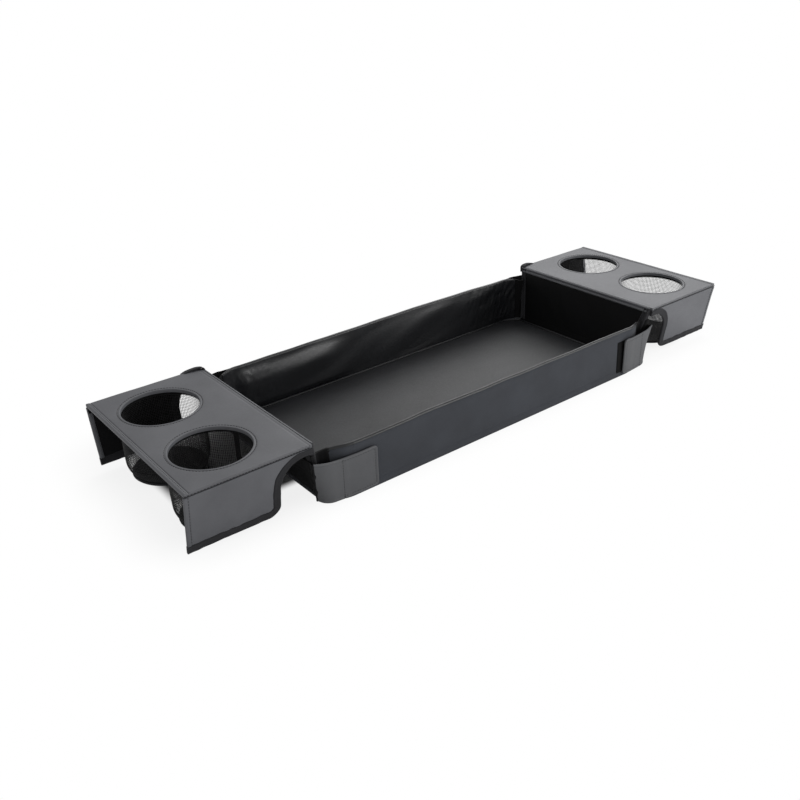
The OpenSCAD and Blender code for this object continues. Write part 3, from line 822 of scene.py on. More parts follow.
for side, side_name in SIDES:
    body = f"{side_name}_end"
    band_low = LINER_LEN - BAND_H
    # The liner is the end vinyl with its painted shade
    liner = end_skin(f"{body}_liner_skin", side, np.linspace(0.2, band_low + 0.4, 60), end_liner_relief,
                     1, END_T, 0.8, shaded_end_vinyl)
    dress(liner, body, f"{body}_liner")
    band = end_skin(f"{body}_top_band", side, np.linspace(band_low, LINER_LEN, 40), band_relief,
                    1, END_T, 0.75, leatherette)
    dress(band, body)
    cover = end_skin(f"{body}_cover_skin", side, np.linspace(0.2, COVER_LEN, 70), end_cover_relief,
                     -1, 0.0, 0.8, black_fabric)
    dress(cover, body, f"{body}_cover")
    for flip, end_name in ENDS:
        dress(edge_tape(f"{body}_{end_name}_edge_tape", side, flip), body, f"{body}_bindings")
    groove = LINER_LEN - BAND_GROOVE
    line = [end_point(y, groove, END_T + band_relief(y, groove) + 0.1)
            for y in np.linspace(-BAND_SEAM_HALF, BAND_SEAM_HALF, 80)]
    stitches(f"{body}_band_stitches", [mirrored(line, side)], body, thread_black)

# Corner gussets
# Each long wall's jacket runs on round the corner, soft and without its board.
# From there a gusset of black fabric folds in as a pleat, and out to the taped
# edge of the end wall, so that both walls can fold flat.
GUSSET_T = 1.7
SPLIT = 24
GUSSET_STEPS = 65
SPLIT_TURN = math.radians(38)
TUCKED_TOP = [(WALL_HALF, -HALF_W), (240.0, -125.9), (250.0, -121.9), (257.5, -118.0), (262.5, -115.0),
              (268.0, -113.6), (273.0, -116.2), (277.0, -120.7), (280.6, -121.6)]
OPEN_TOP = [(WALL_HALF, -HALF_W), (243.0, -127.3), (252.0, -127.8), (260.0, -127.8), (267.0, -127.0),
            (273.0, -125.4), (277.5, -123.4), (280.6, -121.6)]


def smooth_path(points, count):
    """Evenly counted points on a curve through the given ones."""
    knots = np.array([points[0]] + list(points) + [points[-1]], float)
    spots = []
    for s in np.linspace(0, len(points) - 1, count):
        k = min(int(s), len(points) - 2)
        t = s - k
        a, b, c, d = knots[k:k + 4]
        spots.append(0.5 * (2 * b + (c - a) * t + (2 * a - 5 * b + 4 * c - d) * t ** 2
                            + (3 * b - a - 3 * c + d) * t ** 3))
    return np.array(spots)


def unit_run(path):
    """The direction along a path at each of its points."""
    run = np.gradient(path, axis=0)
    return run / np.linalg.norm(run, axis=1)[:, None]


# Each run is the line of its top edge and the depth of the dip in it
tucked = (smooth_path(TUCKED_TOP, GUSSET_STEPS), 3.0)
opened = (smooth_path(OPEN_TOP, GUSSET_STEPS), 0.5)
arc_turns = np.concatenate([
    np.linspace(0, SPLIT_TURN, SPLIT + 1),
    np.linspace(SPLIT_TURN, math.asin(CORNER_X / ARC_R), GUSSET_STEPS - SPLIT)[1:],
])
gusset_foot = np.array([(ARC_X + ARC_R * math.sin(a), -ARC_Y - ARC_R * math.cos(a)) for a in arc_turns])
gusset_foot[0] = TUCKED_TOP[0]


def corner_line(height, run_of):
    """The corner's outer face at a height from 0 to 1, with its inward direction."""
    line = gusset_foot + (run_of[0] - gusset_foot) * height ** 1.1
    run = unit_run(line)
    return line, np.stack([-run[:, 1], run[:, 0]], axis=1)


def corner_jacket(name, side, flip, part, run_of, relief, finish):
    """The wall's jacket carried on round the corner, thinning towards the gusset."""
    top = WALL_TOPS[flip]
    rows = []
    for depth, z, out_y, out_z in jacket_rows(top, part):
        height = up_wall(z, flip)
        line, inward = corner_line(max(height, 0.0), run_of)
        row = []
        for k in range(SPLIT + 1):
            t = k / SPLIT
            x = side * line[k][0]
            bow = BOWS[flip](side * WALL_HALF) * height ** LEAN_CURVE * (1 - t) ** 2
            into = depth * (1 - 0.45 * t ** 1.5) - bow
            level = z + sag(x, height) - 1.5 * step_up(t, 0.4, 1.0) * height
            lifts = (jacket_bulge(x, z, out_y, top, part, relief), -JACKET_T)
            row.append(mirrored([(*(line[k] + inward[k] * (into + out_y * lift)), level + out_z * lift)
                                 for lift in lifts], side, flip))
        rows.append(row)
    return skin(name, rows, finish)


def gusset_grid(top, deep, seed, run_of):
    """A grid on the black gusset's face, moved in by deep. A hidden hem runs on under the cover."""
    low, high = RIM_TOP + 0.2, top - 1.5
    grid = []
    for h in np.linspace(0, 1, 36):
        line, inward = corner_line(h, run_of)
        row = []
        for k in range(SPLIT - 2 if run_of is tucked else 2, GUSSET_STEPS):
            a = max(k - SPLIT + 2, 0) / (GUSSET_STEPS + 1 - SPLIT)
            hem = 0.95 * (1 - step_up(k, SPLIT - 6, SPLIT))
            slack = 1.0 if run_of is tucked else 0.35
            fade = slack * math.sin(math.pi * a) * math.sin(math.pi * min(h + 0.1, 1))
            crease = fade * (0.6 * wrinkle(a * 40, 0, h * 60, 13, seed)
                             + 0.5 * math.sin(14 * a + 4 * h + seed))
            bead = 0.5 * step_up(h, 0.95, 0.98) * (1 if deep > GUSSET_T / 2 else -1)
            spot = line[k] + inward[k] * (deep + hem + crease + bead)
            dip = run_of[1] * math.sin(math.pi * min(a * 1.15, 1.0)) ** 2
            row.append((spot[0], spot[1], low + (high - low - dip) * h))
        grid.append(row)
    return np.array(grid)


def bend(made):
    """Bakes a soft skin's place into its mesh."""
    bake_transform(made)


for flip, end_name in ENDS:
    outer_run = tucked if end_name == "front" else opened
    for side, side_name in SIDES:
        corner = f"{end_name}_{side_name}_gusset"
        turn = np.array((side, flip, 1))
        outer, outer_back, inner_front, inner = [
            gusset_grid(WALL_TOPS[flip], deep, 2.0 + side + 3 * flip, run_of) * turn
            for deep, run_of in ((0.0, outer_run), (GUSSET_T / 2, outer_run), (GUSSET_T / 2, tucked),
                                 (GUSSET_T, tucked))
        ]
        outside = shell(f"{corner}_pleat", outer, outer_back, black_fabric)
        inside = shell(f"{corner}_pleat_lining", inner_front, inner, black_fabric)
        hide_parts(corner)
        cover = corner_jacket(f"{corner}_cover", side, flip, "cover", outer_run, cover_relief, loop_fabric)
        liner = corner_jacket(f"{corner}_liner", side, flip, "liner", tucked, LINER_RELIEFS[flip],
                              liner_vinyl)
        for made in (cover, liner):
            bend(made)
        for made in (outside, inside):
            bend(made)

# Corner tabs
# A leatherette strap is sewn to each end wall. It bends round the gusset and
# grips a loop patch on the long wall with its hook pad, and so holds the
# corner up. Its free part has turned edges with a row of stitches inside them.
TAB_T = 2.0
TAB_R = 6
TAB_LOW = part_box("front_right_tab")[0].z / MM
TAB_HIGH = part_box("front_right_tab")[1].z / MM
TAB_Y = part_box("front_right_tab")[0].y / MM + TAB_T
TAB_SEAM_Y = -(END_HALF - 7)
TAB_SEAM_LOW = WALL_FOOT + 1
TAB_STITCH_IN = 4.0
TAB_BOW = 0.8
TAB_FREE = {"left": 201, "right": 219}
TAB_FOLD_X = {"left": 248, "right": 256}
FLAT_STEPS = 40
BEND_STEPS = 24
STRAP_FOOT = smooth_path([(243, TAB_Y), (253, -128.3), (262, -127.2), (269, -123.2), (273.5, -117)],
                         BEND_STEPS + 1)
STRAP_HEAD = smooth_path([(243, TAB_Y), (253, -128.6), (263, -128.2), (272, -127.0), (281, -125.0)],
                         BEND_STEPS + 1)
STRAP_RISE = 4.0
GUIDE_ROW = 20
ROOT_H = 51
ROOT_DROP = 7
ROOT_FOLDS = (12, 34)


def tab_rows(free_x, heights):
    """For each height, the line of the strap's inner face from its free end to its seam."""
    rows = []
    for h in heights:
        rise = h * (TAB_HIGH - TAB_LOW)
        near = min(rise, TAB_HIGH - TAB_LOW - rise)
        cut = TAB_R - math.sqrt(max(TAB_R ** 2 - max(TAB_R - near, 0.0) ** 2, 0.0))
        row = [(mix(free_x + cut, STRAP_FOOT[0][0], t), TAB_Y - TAB_BOW * math.sin(math.pi * t) ** 2,
                mix(TAB_LOW, TAB_HIGH, h)) for t in np.linspace(0, 1, FLAT_STEPS)]
        for n in range(1, BEND_STEPS + 1):
            t = n / BEND_STEPS
            low, high = mix(TAB_LOW, TAB_SEAM_LOW, t ** 4), TAB_HIGH + STRAP_RISE * t ** 2
            row.append((*mix(STRAP_FOOT[n], STRAP_HEAD[n], h), mix(low, high, h)))
        rows.append(row)
    return np.array(rows)


def strap_root(name, side, flip, rows, heights):
    """The black tape that joins the strap to the end wall, round its edge and with two folds."""
    made = []
    for h, strap_row in zip(heights, rows):
        x, y, start_z = strap_row[-1]
        seam_z = mix(TAB_SEAM_LOW, TAB_HIGH, h)
        end_x = HALF_LEN + (seam_z - WALL_FOOT) * math.tan(END_LEAN) + 0.7
        turn_y = -(END_HALF + END_FLARE * (seam_z - WALL_FOOT) / END_RISE)
        path = smooth_path([(x - 1.5, y - 0.1), (x + 1.5, y), (end_x + 0.5, turn_y - 1.2),
                            (end_x, turn_y + 5), (end_x, TAB_SEAM_Y)], BEND_STEPS + 1)
        row = []
        for k, (spot, run) in enumerate(zip(path, unit_run(path))):
            t = k / BEND_STEPS
            level = h * ROOT_H - ROOT_DROP * t
            fold = sum(1.3 * ridge(level, middle, 3.0) for middle in ROOT_FOLDS)
            lifts = (0.9 + fold * math.sin(math.pi * min(t + 0.15, 1)), 0.0)
            row.append(mirrored([(spot[0] + run[1] * lift, spot[1] - run[0] * lift, mix(start_z, seam_z, t))
                                 for lift in lifts], side, flip))
        made.append(row)
    return skin(name, made, black_fabric)


def tab_faces(rows, free_x):
    """The strap's outer and inner faces, with rounded edges and a turned border."""
    outer, inner = rows.copy(), rows.copy()
    for i, row in enumerate(rows):
        run = unit_run(row[:, :2])
        travel = np.concatenate([[0], np.cumsum(np.linalg.norm(np.diff(row[:, :2], axis=0), axis=1))])
        for k, spot in enumerate(row):
            free = spot[0] - free_x if k < FLAT_STEPS else 99
            edge = min(spot[2] - rows[0][k][2], rows[-1][k][2] - spot[2], max(free, travel[k] * 0.6))
            round_off = math.sqrt(min(1.0, (edge + 0.02) / 1.3))
            border = 0.5 * ridge(edge, 1.8, 1.3) - 0.55 * ridge(edge, TAB_STITCH_IN, 0.6)
            out = np.array((run[k][1], -run[k][0]))
            outer[i, k, :2] = spot[:2] + out * (TAB_T / 2 * (1 + round_off) + border)
            inner[i, k, :2] = spot[:2] + out * (TAB_T / 2 * (1 - round_off))
    return outer, inner


def nearest(values, wanted):
    """The index of the value that lies closest to the wanted one."""
    return int(np.argmin(np.abs(values - wanted)))


def small_pad(name, x0, x1, y_of, z0, z1, thick, side, flip):
    """A flat sewn-on pad with soft edges. It stands out from y_of towards the front."""
    rows = []
    for z in np.linspace(z0, z1, 30):
        row = []
        for x in np.linspace(x0, x1, 24):
            edge = min(x - x0, x1 - x, z - z0, z1 - z)
            proud = thick * (0.55 + 0.45 * math.sqrt(min(1.0, edge / 1.0 + 0.01)))
            row.append(mirrored([(x, y_of(x, z) - proud, z), (x, y_of(x, z), z)], side, flip))
        rows.append(row)
    return skin(name, rows, hook_and_loop)


# The straps' leatherette is a little darker than the panels'
strap_leatherette = vinyl("strap_leatherette", "#4b4c4f", "#565759", 0.5, 0.6, 0.8, 0.06)

# Hook-and-loop tape: nylon, black, with a dense field of hooks or soft loops
hook_and_loop = grained("nylon_hook_and_loop", "ShaderNodeTexVoronoi", {"Scale": 1 / 1.4, "Randomness": 0.35},
                        "#0f0f10", "#060606", rough=0.8, strength=1.0, depth_mm=0.5, height="Distance",
                        shine=0.15)

tab_heights = np.linspace(0, 1, 44)
for flip, end_name in ENDS:
    for side, side_name in SIDES:
        corner = f"{end_name}_{side_name}"
        body = f"{corner}_tab"
        free_x = TAB_FREE[side_name]
        rows = tab_rows(free_x, tab_heights)
        outer, inner = tab_faces(rows, free_x)
        turn = np.array((side, flip, 1))
        strap = shell(f"{body}_strap", outer * turn, inner * turn, strap_leatherette)
        dress(strap, body, body)
        low_row = nearest(rows[:, 0, 2], TAB_LOW + TAB_STITCH_IN)
        high_row = nearest(rows[:, 0, 2], TAB_HIGH - TAB_STITCH_IN)
        start = nearest(rows[GUIDE_ROW, :FLAT_STEPS, 0], free_x + TAB_STITCH_IN)
        fold = nearest(rows[GUIDE_ROW, :-2, 0], TAB_FOLD_X[side_name])
        border = [outer[low_row][k] for k in range(fold, start - 1, -1)]
        border += [outer[i][start] for i in range(low_row + 1, high_row)]
        border += [outer[high_row][k] for k in range(start, fold + 1)]
        fold_line = [outer[i][nearest(rows[i][:-2, 0], TAB_FOLD_X[side_name])]
                     for i in range(2, len(rows) - 2)]
        stitches(f"{body}_stitches", [mirrored(line, side, flip) for line in (border, fold_line)], body,
                 thread_black, stitch=2.2, gap=1.1, thread=0.4)
        hooks = small_pad(f"{corner}_hooks", free_x + 4, HALF_LEN - 24, lambda x, z: TAB_Y + 1.0,
                          TAB_LOW + 4, TAB_HIGH - 4, 1.05, side, flip)
        dress(hooks, body, f"{corner}_hook_pad")
        dress(strap_root(f"{body}_root", side, flip, rows, tab_heights), body)

        def wall_face(x, z):
            """The outer face of the long wall by this corner."""
            return wall_y(x * side, z, 0.0, flip) + 0.1

        loops = small_pad(f"{corner}_loops", WALL_HALF - 20, WALL_HALF - 0.2, wall_face,
                          WALL_FOOT + 1, TAB_HIGH - 3, 1.1, side, flip)
        dress(loops, f"{end_name}_wall", f"{end_name}_loop_patches")

# Cup panels
# A panel is a stiff board in a leatherette jacket that folds up and over on the
# end wall's top edge. The outer edge has a double folded, stitched hem, and
# each cup hole is lined with a rolled and stitched ring. The panels are bare.
PANEL_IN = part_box("right_panel_skin")[0].x / MM
PANEL_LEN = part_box("right_panel_skin")[1].x / MM - PANEL_IN
PANEL_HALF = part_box("right_panel_skin")[1].y / MM
PANEL_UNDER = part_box("right_panel_skin")[0].z / MM
HOLE_R = 44
HOLE_IN = 82.8
HOLE_OUT = 60.7
RING_R = 46.7
RING_REACH = RING_R + 5
PATCH = 54
PATCH_STEPS = 36
EDGE_R = 2.6
HEM_W = 5.6
HEM_STITCH = 4.2
LINING_IN = 2.4
LINING_T = 0.6


def spread(stops, counts):
    """Grid lines through the stops, with so many cells between each pair."""
    lines = [stops[0]]
    for a, b, n in zip(stops, stops[1:], counts):
        lines += list(np.linspace(a, b, n + 1)[1:])
    return lines


def panel_cells(hole_r, margin):
    """Points and faces of a flat panel with two round holes, in u and v."""
    u_lines = spread([margin, 3, 7, HOLE_IN - PATCH, HOLE_IN + PATCH, PANEL_LEN - 3, PANEL_LEN - margin],
                     [8, 8, 8, PATCH_STEPS, 8, 8])
    low, high = HOLE_OUT - PATCH, HOLE_OUT + PATCH
    v_lines = spread([margin - PANEL_HALF, 3 - PANEL_HALF, -high, -low, low, high, PANEL_HALF - 3,
                      PANEL_HALF - margin], [8, 6, PATCH_STEPS, 6, PATCH_STEPS, 6, 8])
    points, faces = [], []
    in_u = [HOLE_IN - PATCH - 1e-6 <= (a + b) / 2 <= HOLE_IN + PATCH for a, b in zip(u_lines, u_lines[1:])]
    in_v = [low <= abs((a + b) / 2) <= high for a, b in zip(v_lines, v_lines[1:])]
    for i, (u0, u1) in enumerate(zip(u_lines, u_lines[1:])):
        for k, (v0, v1) in enumerate(zip(v_lines, v_lines[1:])):
            if in_u[i] and in_v[k]:
                continue
            base = len(points)
            points += [(u0, v0), (u1, v0), (u1, v1), (u0, v1)]
            faces.append((base, base + 1, base + 2, base + 3))
    step = 2 * PATCH / PATCH_STEPS
    for middle in (-HOLE_OUT, HOLE_OUT):
        square = [(HOLE_IN + PATCH * a + step * n * c, middle + PATCH * b + step * n * d)
                  for a, b, c, d in ((-1, -1, 1, 0), (1, -1, 0, 1), (1, 1, -1, 0), (-1, 1, 0, -1))
                  for n in range(PATCH_STEPS)]
        levels = (0, 0.3, 0.55, 0.75, 0.87, 0.94, 0.98, 1.0)
        faces += belts(len(levels), len(square), first=len(points))
        for t in levels:
            for u, v in square:
                angle = math.atan2(v - middle, u - HOLE_IN)
                points.append((mix(u, HOLE_IN + hole_r * math.cos(angle), t),
                               mix(v, middle + hole_r * math.sin(angle), t)))
    return points, faces


def panel_top(u, v):
    """Height of the jacket's top: softly padded, with hems, creases and puckers."""
    to_ring = max(math.hypot(u - HOLE_IN, abs(v) - HOLE_OUT) - RING_R, 0)
    angle = math.atan2(abs(v) - HOLE_OUT, u - HOLE_IN)
    outer = PANEL_LEN - u
    to_edge = min(u, PANEL_HALF - abs(v), outer)
    height = PANEL_Z - 0.25
    height += 0.35 * min(1.0, max(to_edge - 2, 0) / 16) + 0.3 * wrinkle(u, v, 0, 42, 3.0)
    height -= 0.6 * math.exp(-to_ring / 0.8) + 0.05 * math.exp(-to_ring / 5) * math.sin(34 * angle)
    height += 0.6 * step_up(HEM_W - outer, 0, 0.5) - 0.5 * ridge(outer, HEM_STITCH, 0.6)
    height -= 0.7 * ridge(outer, HEM_W + 0.4, 0.5) + 0.25 * ridge(u, 4.2, 0.9)
    return height


def slab(name, side, hole_r, margin, top_of, under, finish, rounding):
    """A closed panel with two holes. Its outer edges are rounded over."""
    flat, cells = panel_cells(hole_r, margin)
    count = len(flat)
    points = []
    for is_top in (True, False):
        for u, v in flat:
            high = top_of(u, v)
            r = min(rounding, (high - under) / 2, 0.9 + 1.7 * step_up(u, 1.5, 5.0))
            near = [min(max(u, margin + r), PANEL_LEN - margin - r),
                    min(max(v, -PANEL_HALF + margin + r), PANEL_HALF - margin - r)]
            away = np.array([u - near[0], v - near[1], r])
            away *= r / np.linalg.norm(away)
            drop = r - away[2]
            points.append(((PANEL_IN + near[0] + away[0]) * side, near[1] + away[1],
                           high - drop if is_top else min(under + drop, (high + under) / 2)))
    faces = list(cells) + [tuple(reversed([count + n for n in cell])) for cell in cells]
    keys = [tuple(np.round(p, 4)) for p in flat]
    edges = {}
    for cell in cells:
        for a, b in zip(cell, [*cell[1:], cell[0]]):
            edges.setdefault(frozenset((keys[a], keys[b])), []).append((a, b))
    faces += [(a, b, count + b, count + a) for (a, b), *others in edges.values() if not others]
    return tidy(mesh_object(name, points, faces, finish))


def ring_section():
    """The hemmed ring in a cup hole, as radius and height: a thin rolled lip, then a flat hem."""
    lip = [(0, -0.8), (0.15, -0.25), (0.5, -0.02), (0.9, 0.02), (1.4, -0.03)]
    hem = [(-0.6, -0.05), (-0.2, -0.15), (0.2, -0.6)]
    return [(HOLE_R, PANEL_UNDER + 0.15), *[(HOLE_R + r, PANEL_Z + z) for r, z in lip],
            *[(RING_R + r, PANEL_Z + z) for r, z in hem], (RING_R + 0.3, PANEL_UNDER + 0.3),
            (RING_R - 0.2, PANEL_UNDER + 0.15)]


def around(middle_v, radius, lift, count=120):
    """A closed circle of points about a cup hole, on the right-hand panel's jacket."""
    line = []
    for a in np.linspace(0, 2 * math.pi, count):
        u, v = HOLE_IN + radius * math.cos(a), middle_v + radius * math.sin(a)
        line.append((PANEL_IN + u, v, panel_top(u, v) + lift))
    return line


for side, side_name in SIDES:
    body = f"{side_name}_panel"
    top = slab(f"{body}_jacket", side, RING_R + 0.1, 0, panel_top, PANEL_UNDER + 0.2, leatherette, EDGE_R)
    dress(top, body, f"{body}_skin")
    lining = slab(f"{body}_underside", side, RING_R + 0.4, LINING_IN, lambda u, v: PANEL_UNDER + LINING_T,
                  PANEL_UNDER, black_fabric, 0.25)
    dress(lining, body, f"{body}_lining")
    for flip, end_name in ENDS:
        middle = -flip * HOLE_OUT
        loops = []
        for x, y, z in around(middle, RING_REACH, 0.05, 97)[:-1]:
            out_x, out_y = (x - PANEL_IN - HOLE_IN) / RING_REACH, (y - middle) / RING_REACH
            loops.append(mirrored([(PANEL_IN + HOLE_IN + r * out_x, middle + r * out_y,
                                    h + (z - PANEL_Z) * step_up(h, PANEL_Z - 1, PANEL_Z - 0.2))
                                   for r, h in ring_section()], side))
        ring = loft(f"{side_name}_{end_name}_hole_ring", loops, leatherette, ring=True)
        dress(ring, body, f"{side_name}_hole_hems")
    hem_u = PANEL_LEN - HEM_STITCH
    lines = [[(PANEL_IN + hem_u, v, panel_top(hem_u, v) + 0.1)
              for v in np.linspace(3 - PANEL_HALF, PANEL_HALF - 3, 60)]]
    lines += [around(middle, RING_R + 0.8, 0.12) for middle in (-HOLE_OUT, HOLE_OUT)]
    lines += [[(PANEL_IN + u, v * (PANEL_HALF + 0.05), PANEL_Z - 2.7)
               for u in np.linspace(5, PANEL_LEN - 2, 40)] for v in (-1, 1)]
    stitches(f"{body}_stitches", [mirrored(line, side) for line in lines], body, thread_black,
             stitch=2.3, gap=1.1, thread=0.4)

# Mesh cups
# An open nylon net is sewn into a tube, gathered to a woven base and bound
# round it with piping. A stitched band of tape holds it under the panel.
CUP_R = 48.6
NET_PITCH = 2.1
NET_THREAD_R = 0.27
BASE_R = 41
BASE_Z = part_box("left_cup_bases")[0].z / MM
CUP_ROUND = 20
CUP_ROUND_H = 16
BAND_LOW = 76.4
SEAM_TAPE_HALF = 3.2
PIPING_R = 1.35

# Nylon net: black, slightly glossy round threads
nylon_net = grained("nylon_net", "ShaderNodeTexNoise", {"Scale": 1 / 3, "Detail": 2}, "#101011", "#1d1d1f",
                    rough=0.5, strength=0.3, depth_mm=0.05)


def net_tree():
    """Turns the edges of a woven surface into crossing round threads."""
    tree, given = node_group("net", {"Surface": "Geometry", "Thread": "Float", "Finish": "Material"}, "Net")
    threads = add(tree, "GeometryNodeMeshToCurve", {"Mesh": given["Surface"]})
    section = add(tree, "GeometryNodeCurvePrimitiveCircle", {"Resolution": 4, "Radius": given["Thread"]},
                  mode="RADIUS")
    swept = add(tree, "GeometryNodeCurveToMesh",
                {"Curve": threads.outputs[0], "Profile Curve": section.outputs[0]})
    real = add(tree, "GeometryNodeRealizeInstances", {"Geometry": swept.outputs[0]})
    dressed = add(tree, "GeometryNodeSetMaterial", {"Geometry": real.outputs[0], "Material": given["Finish"]})
    add(tree, "NodeGroupOutput", {"Net": dressed.outputs[0]})
    return tree


netting = net_tree()


def cup_profile():
    """The net's section from its band down to its base, as radius and height."""
    round_z = BASE_Z + 2 + CUP_ROUND_H
    rows = [(CUP_R - 0.2, z) for z in np.arange(PANEL_UNDER - 0.6, round_z, -NET_PITCH)]
    low = math.asin(CUP_ROUND_H / CUP_ROUND)
    for a in np.linspace(0, low, 11)[1:]:
        rows.append((CUP_R - CUP_ROUND + CUP_ROUND * math.cos(a) - 0.2, round_z - CUP_ROUND * math.sin(a)))
    return rows


def cup_point(side, middle, r, a, z):
    """A point about a cup hole: at a radius, a turn and a height."""
    return ((PANEL_IN + HOLE_IN + r * math.cos(a)) * side, middle + r * math.sin(a), z)


def whole_turn(count):
    """Evenly spaced turns round a circle."""
    return [2 * math.pi * n / count for n in range(count)]


def net_surface(name, side, middle, seed):
    """The woven tube and its round foot, a little slack towards the base."""
    turns = whole_turn(round(2 * math.pi * CUP_R / NET_PITCH))
    rows = cup_profile()
    points = []
    for r, z in rows:
        depth = (PANEL_UNDER - z) / PANEL_UNDER
        for a in turns:
            slack = 0.9 * depth * wrinkle(math.cos(a) * 30, math.sin(a) * 30, z, 26, seed)
            points.append(cup_point(side, middle, r + slack - 0.6, a, z))
    return mesh_object(name, points, belts(len(rows), len(turns)), nylon_net)


def cup_ring(name, side, middle, section, finish, wave):
    """A ring about a cup hole with the given section of radius and height, slightly wavy."""
    loops = [[cup_point(side, middle, r + wave * math.sin(7 * a + 1), a, z) for r, z in section]
             for a in whole_turn(96)]
    return loft(name, loops, finish, ring=True)


def base_disc(name, side, middle):
    """The woven base: thin, and sagging a little from its rim."""
    rings = 10
    loops = []
    for is_top in (True, False):
        for j in range(rings):
            r = (BASE_R - 0.1) * ((j + 1) / rings if is_top else 1 - j / rings)
            sink = 0.5 * (1 - (r / BASE_R) ** 2)
            z = BASE_Z + (2 - sink if is_top else 0.6 - min(sink, 0.5))
            loops.append([cup_point(side, middle, r, a, z) for a in whole_turn(72)])
    return loft(name, loops, black_fabric)


def seam_strip(name, side, middle, angle):
    """Tape over the net's upright seam, inside the cup."""
    half_turn = SEAM_TAPE_HALF / CUP_R
    rows = [[[cup_point(side, middle, r - 0.2 - deep, a, z) for deep in (0.0, 0.7)]
             for a in np.linspace(angle - half_turn, angle + half_turn, 9)] for r, z in cup_profile()]
    return skin(name, rows, black_fabric)


band_section = [(CUP_R + 0.5, PANEL_UNDER - 0.1), (CUP_R + 0.55, BAND_LOW + 0.6), (CUP_R + 0.1, BAND_LOW),
                (CUP_R - 1.3, BAND_LOW + 0.1), (CUP_R - 1.6, BAND_LOW + 0.8),
                (CUP_R - 1.5, PANEL_UNDER - 0.1)]
piping_section = [(BASE_R + 1.2 + PIPING_R * math.cos(a), BASE_Z + 0.9 + PIPING_R * math.sin(a))
                  for a in np.linspace(0, 2 * math.pi, 12, endpoint=False)]
for side, side_name in SIDES:
    body = f"{side_name}_panel"
    for flip, end_name in ENDS:
        middle = -flip * HOLE_OUT
        cup = f"{side_name}_{end_name}_cup"
        net = grown(net_surface(f"{cup}_net", side, middle, 3.0 + side - 2 * flip), netting,
                    {"Thread": NET_THREAD_R * MM, "Finish": nylon_net})
        dress(net, body, cup)
        dress(base_disc(f"{cup}_base", side, middle), body, f"{side_name}_cup_bases")
        piping = cup_ring(f"{cup}_piping_tape", side, middle, piping_section, binding_tape, 0.12)
        dress(piping, body, f"{side_name}_cup_piping")
        band = cup_ring(f"{cup}_rim_band", side, middle, band_section, black_fabric, 0.1)
        dress(band, body)
        strip = seam_strip(f"{cup}_seam_strip", side, middle, math.radians(150 * flip))
        dress(strip, body)

# Side flaps
# A flap hangs from each long edge of a panel and swings in towards the cups.
# It is leatherette over a black lining. Wide matte tape binds its lower edge,
# its inner edge and the arch that clears the rail. The outer edge is hemmed.
FLAP_LEN = 72.4
FLAP_SWING = math.radians(9.7)
FLAP_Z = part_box("right_front_flap_binding")[1].z / MM
TAPE_W = 9.5
ARCH_X = 8
ARCH_R = 30
ARCH_LOW = 38.5
FLAP_INNER = ARCH_X + ARCH_R
FLAP_CORNER_R = 14
SHEET_STEP = 1.5
SHEET_MARGIN = 4.5


def flap_point(u, v, deep):
    """A point on the right front flap: along it, down it, and in from its outer face."""
    return (PANEL_IN + u,
            -PANEL_HALF + deep * math.cos(FLAP_SWING) + v * math.sin(FLAP_SWING),
            FLAP_Z + deep * math.sin(FLAP_SWING) - v * math.cos(FLAP_SWING))


def flap_edge():
    """The bound edge, from the panel's inner corner over the arch and along the bottom."""
    corner_v = FLAP_LEN - FLAP_CORNER_R
    path = [(u, ARCH_LOW - ARCH_R) for u in np.linspace(0.2, ARCH_X, 5)]
    path += [(ARCH_X + ARCH_R * math.sin(a), ARCH_LOW - ARCH_R * math.cos(a))
             for a in np.linspace(0, math.pi / 2, 20)[1:]]
    path += [(FLAP_INNER, v) for v in np.linspace(ARCH_LOW, corner_v, 8)[1:]]
    path += [(FLAP_INNER + FLAP_CORNER_R * (1 - math.cos(a)), corner_v + FLAP_CORNER_R * math.sin(a))
             for a in np.linspace(0, math.pi / 2, 14)[1:]]
    path += [(u, FLAP_LEN) for u in np.linspace(FLAP_INNER + FLAP_CORNER_R, PANEL_LEN, 36)[1:]]
    return np.array(path)


edge_path = flap_edge()
edge_run = unit_run(edge_path)
edge_in = np.stack([edge_run[:, 1], -edge_run[:, 0]], axis=1)


def flap_relief(u, v, seed):
    """The flap is stiff, but it bows below its fold, and it puckers along its tape."""
    bow = 0.55 * wrinkle(u, v, 0, 48, seed) + 0.15 * wrinkle(u, v, 0, 17, seed)
    pucker = 0.16 * math.sin(u / 2.6 + 2 * wrinkle(u, 0, 0, 20, seed))
    pucker *= step_up(v, FLAP_LEN - 18, FLAP_LEN - 9)
    return (bow + pucker) * step_up(v, 0, 14)


def inside_flap(u, v):
    """Whether a spot lies far enough inside the flap's bound edges for its sheets."""
    if v > FLAP_LEN - SHEET_MARGIN or math.hypot(u - ARCH_X, v - ARCH_LOW) < ARCH_R + SHEET_MARGIN:
        return False
    if u < ARCH_X:
        return v < ARCH_LOW - ARCH_R - SHEET_MARGIN
    if v > ARCH_LOW and u < FLAP_INNER + SHEET_MARGIN:
        return False
    to_round = FLAP_INNER + FLAP_CORNER_R - u, v - FLAP_LEN + FLAP_CORNER_R
    return min(to_round) <= 0 or math.hypot(*to_round) <= FLAP_CORNER_R - SHEET_MARGIN


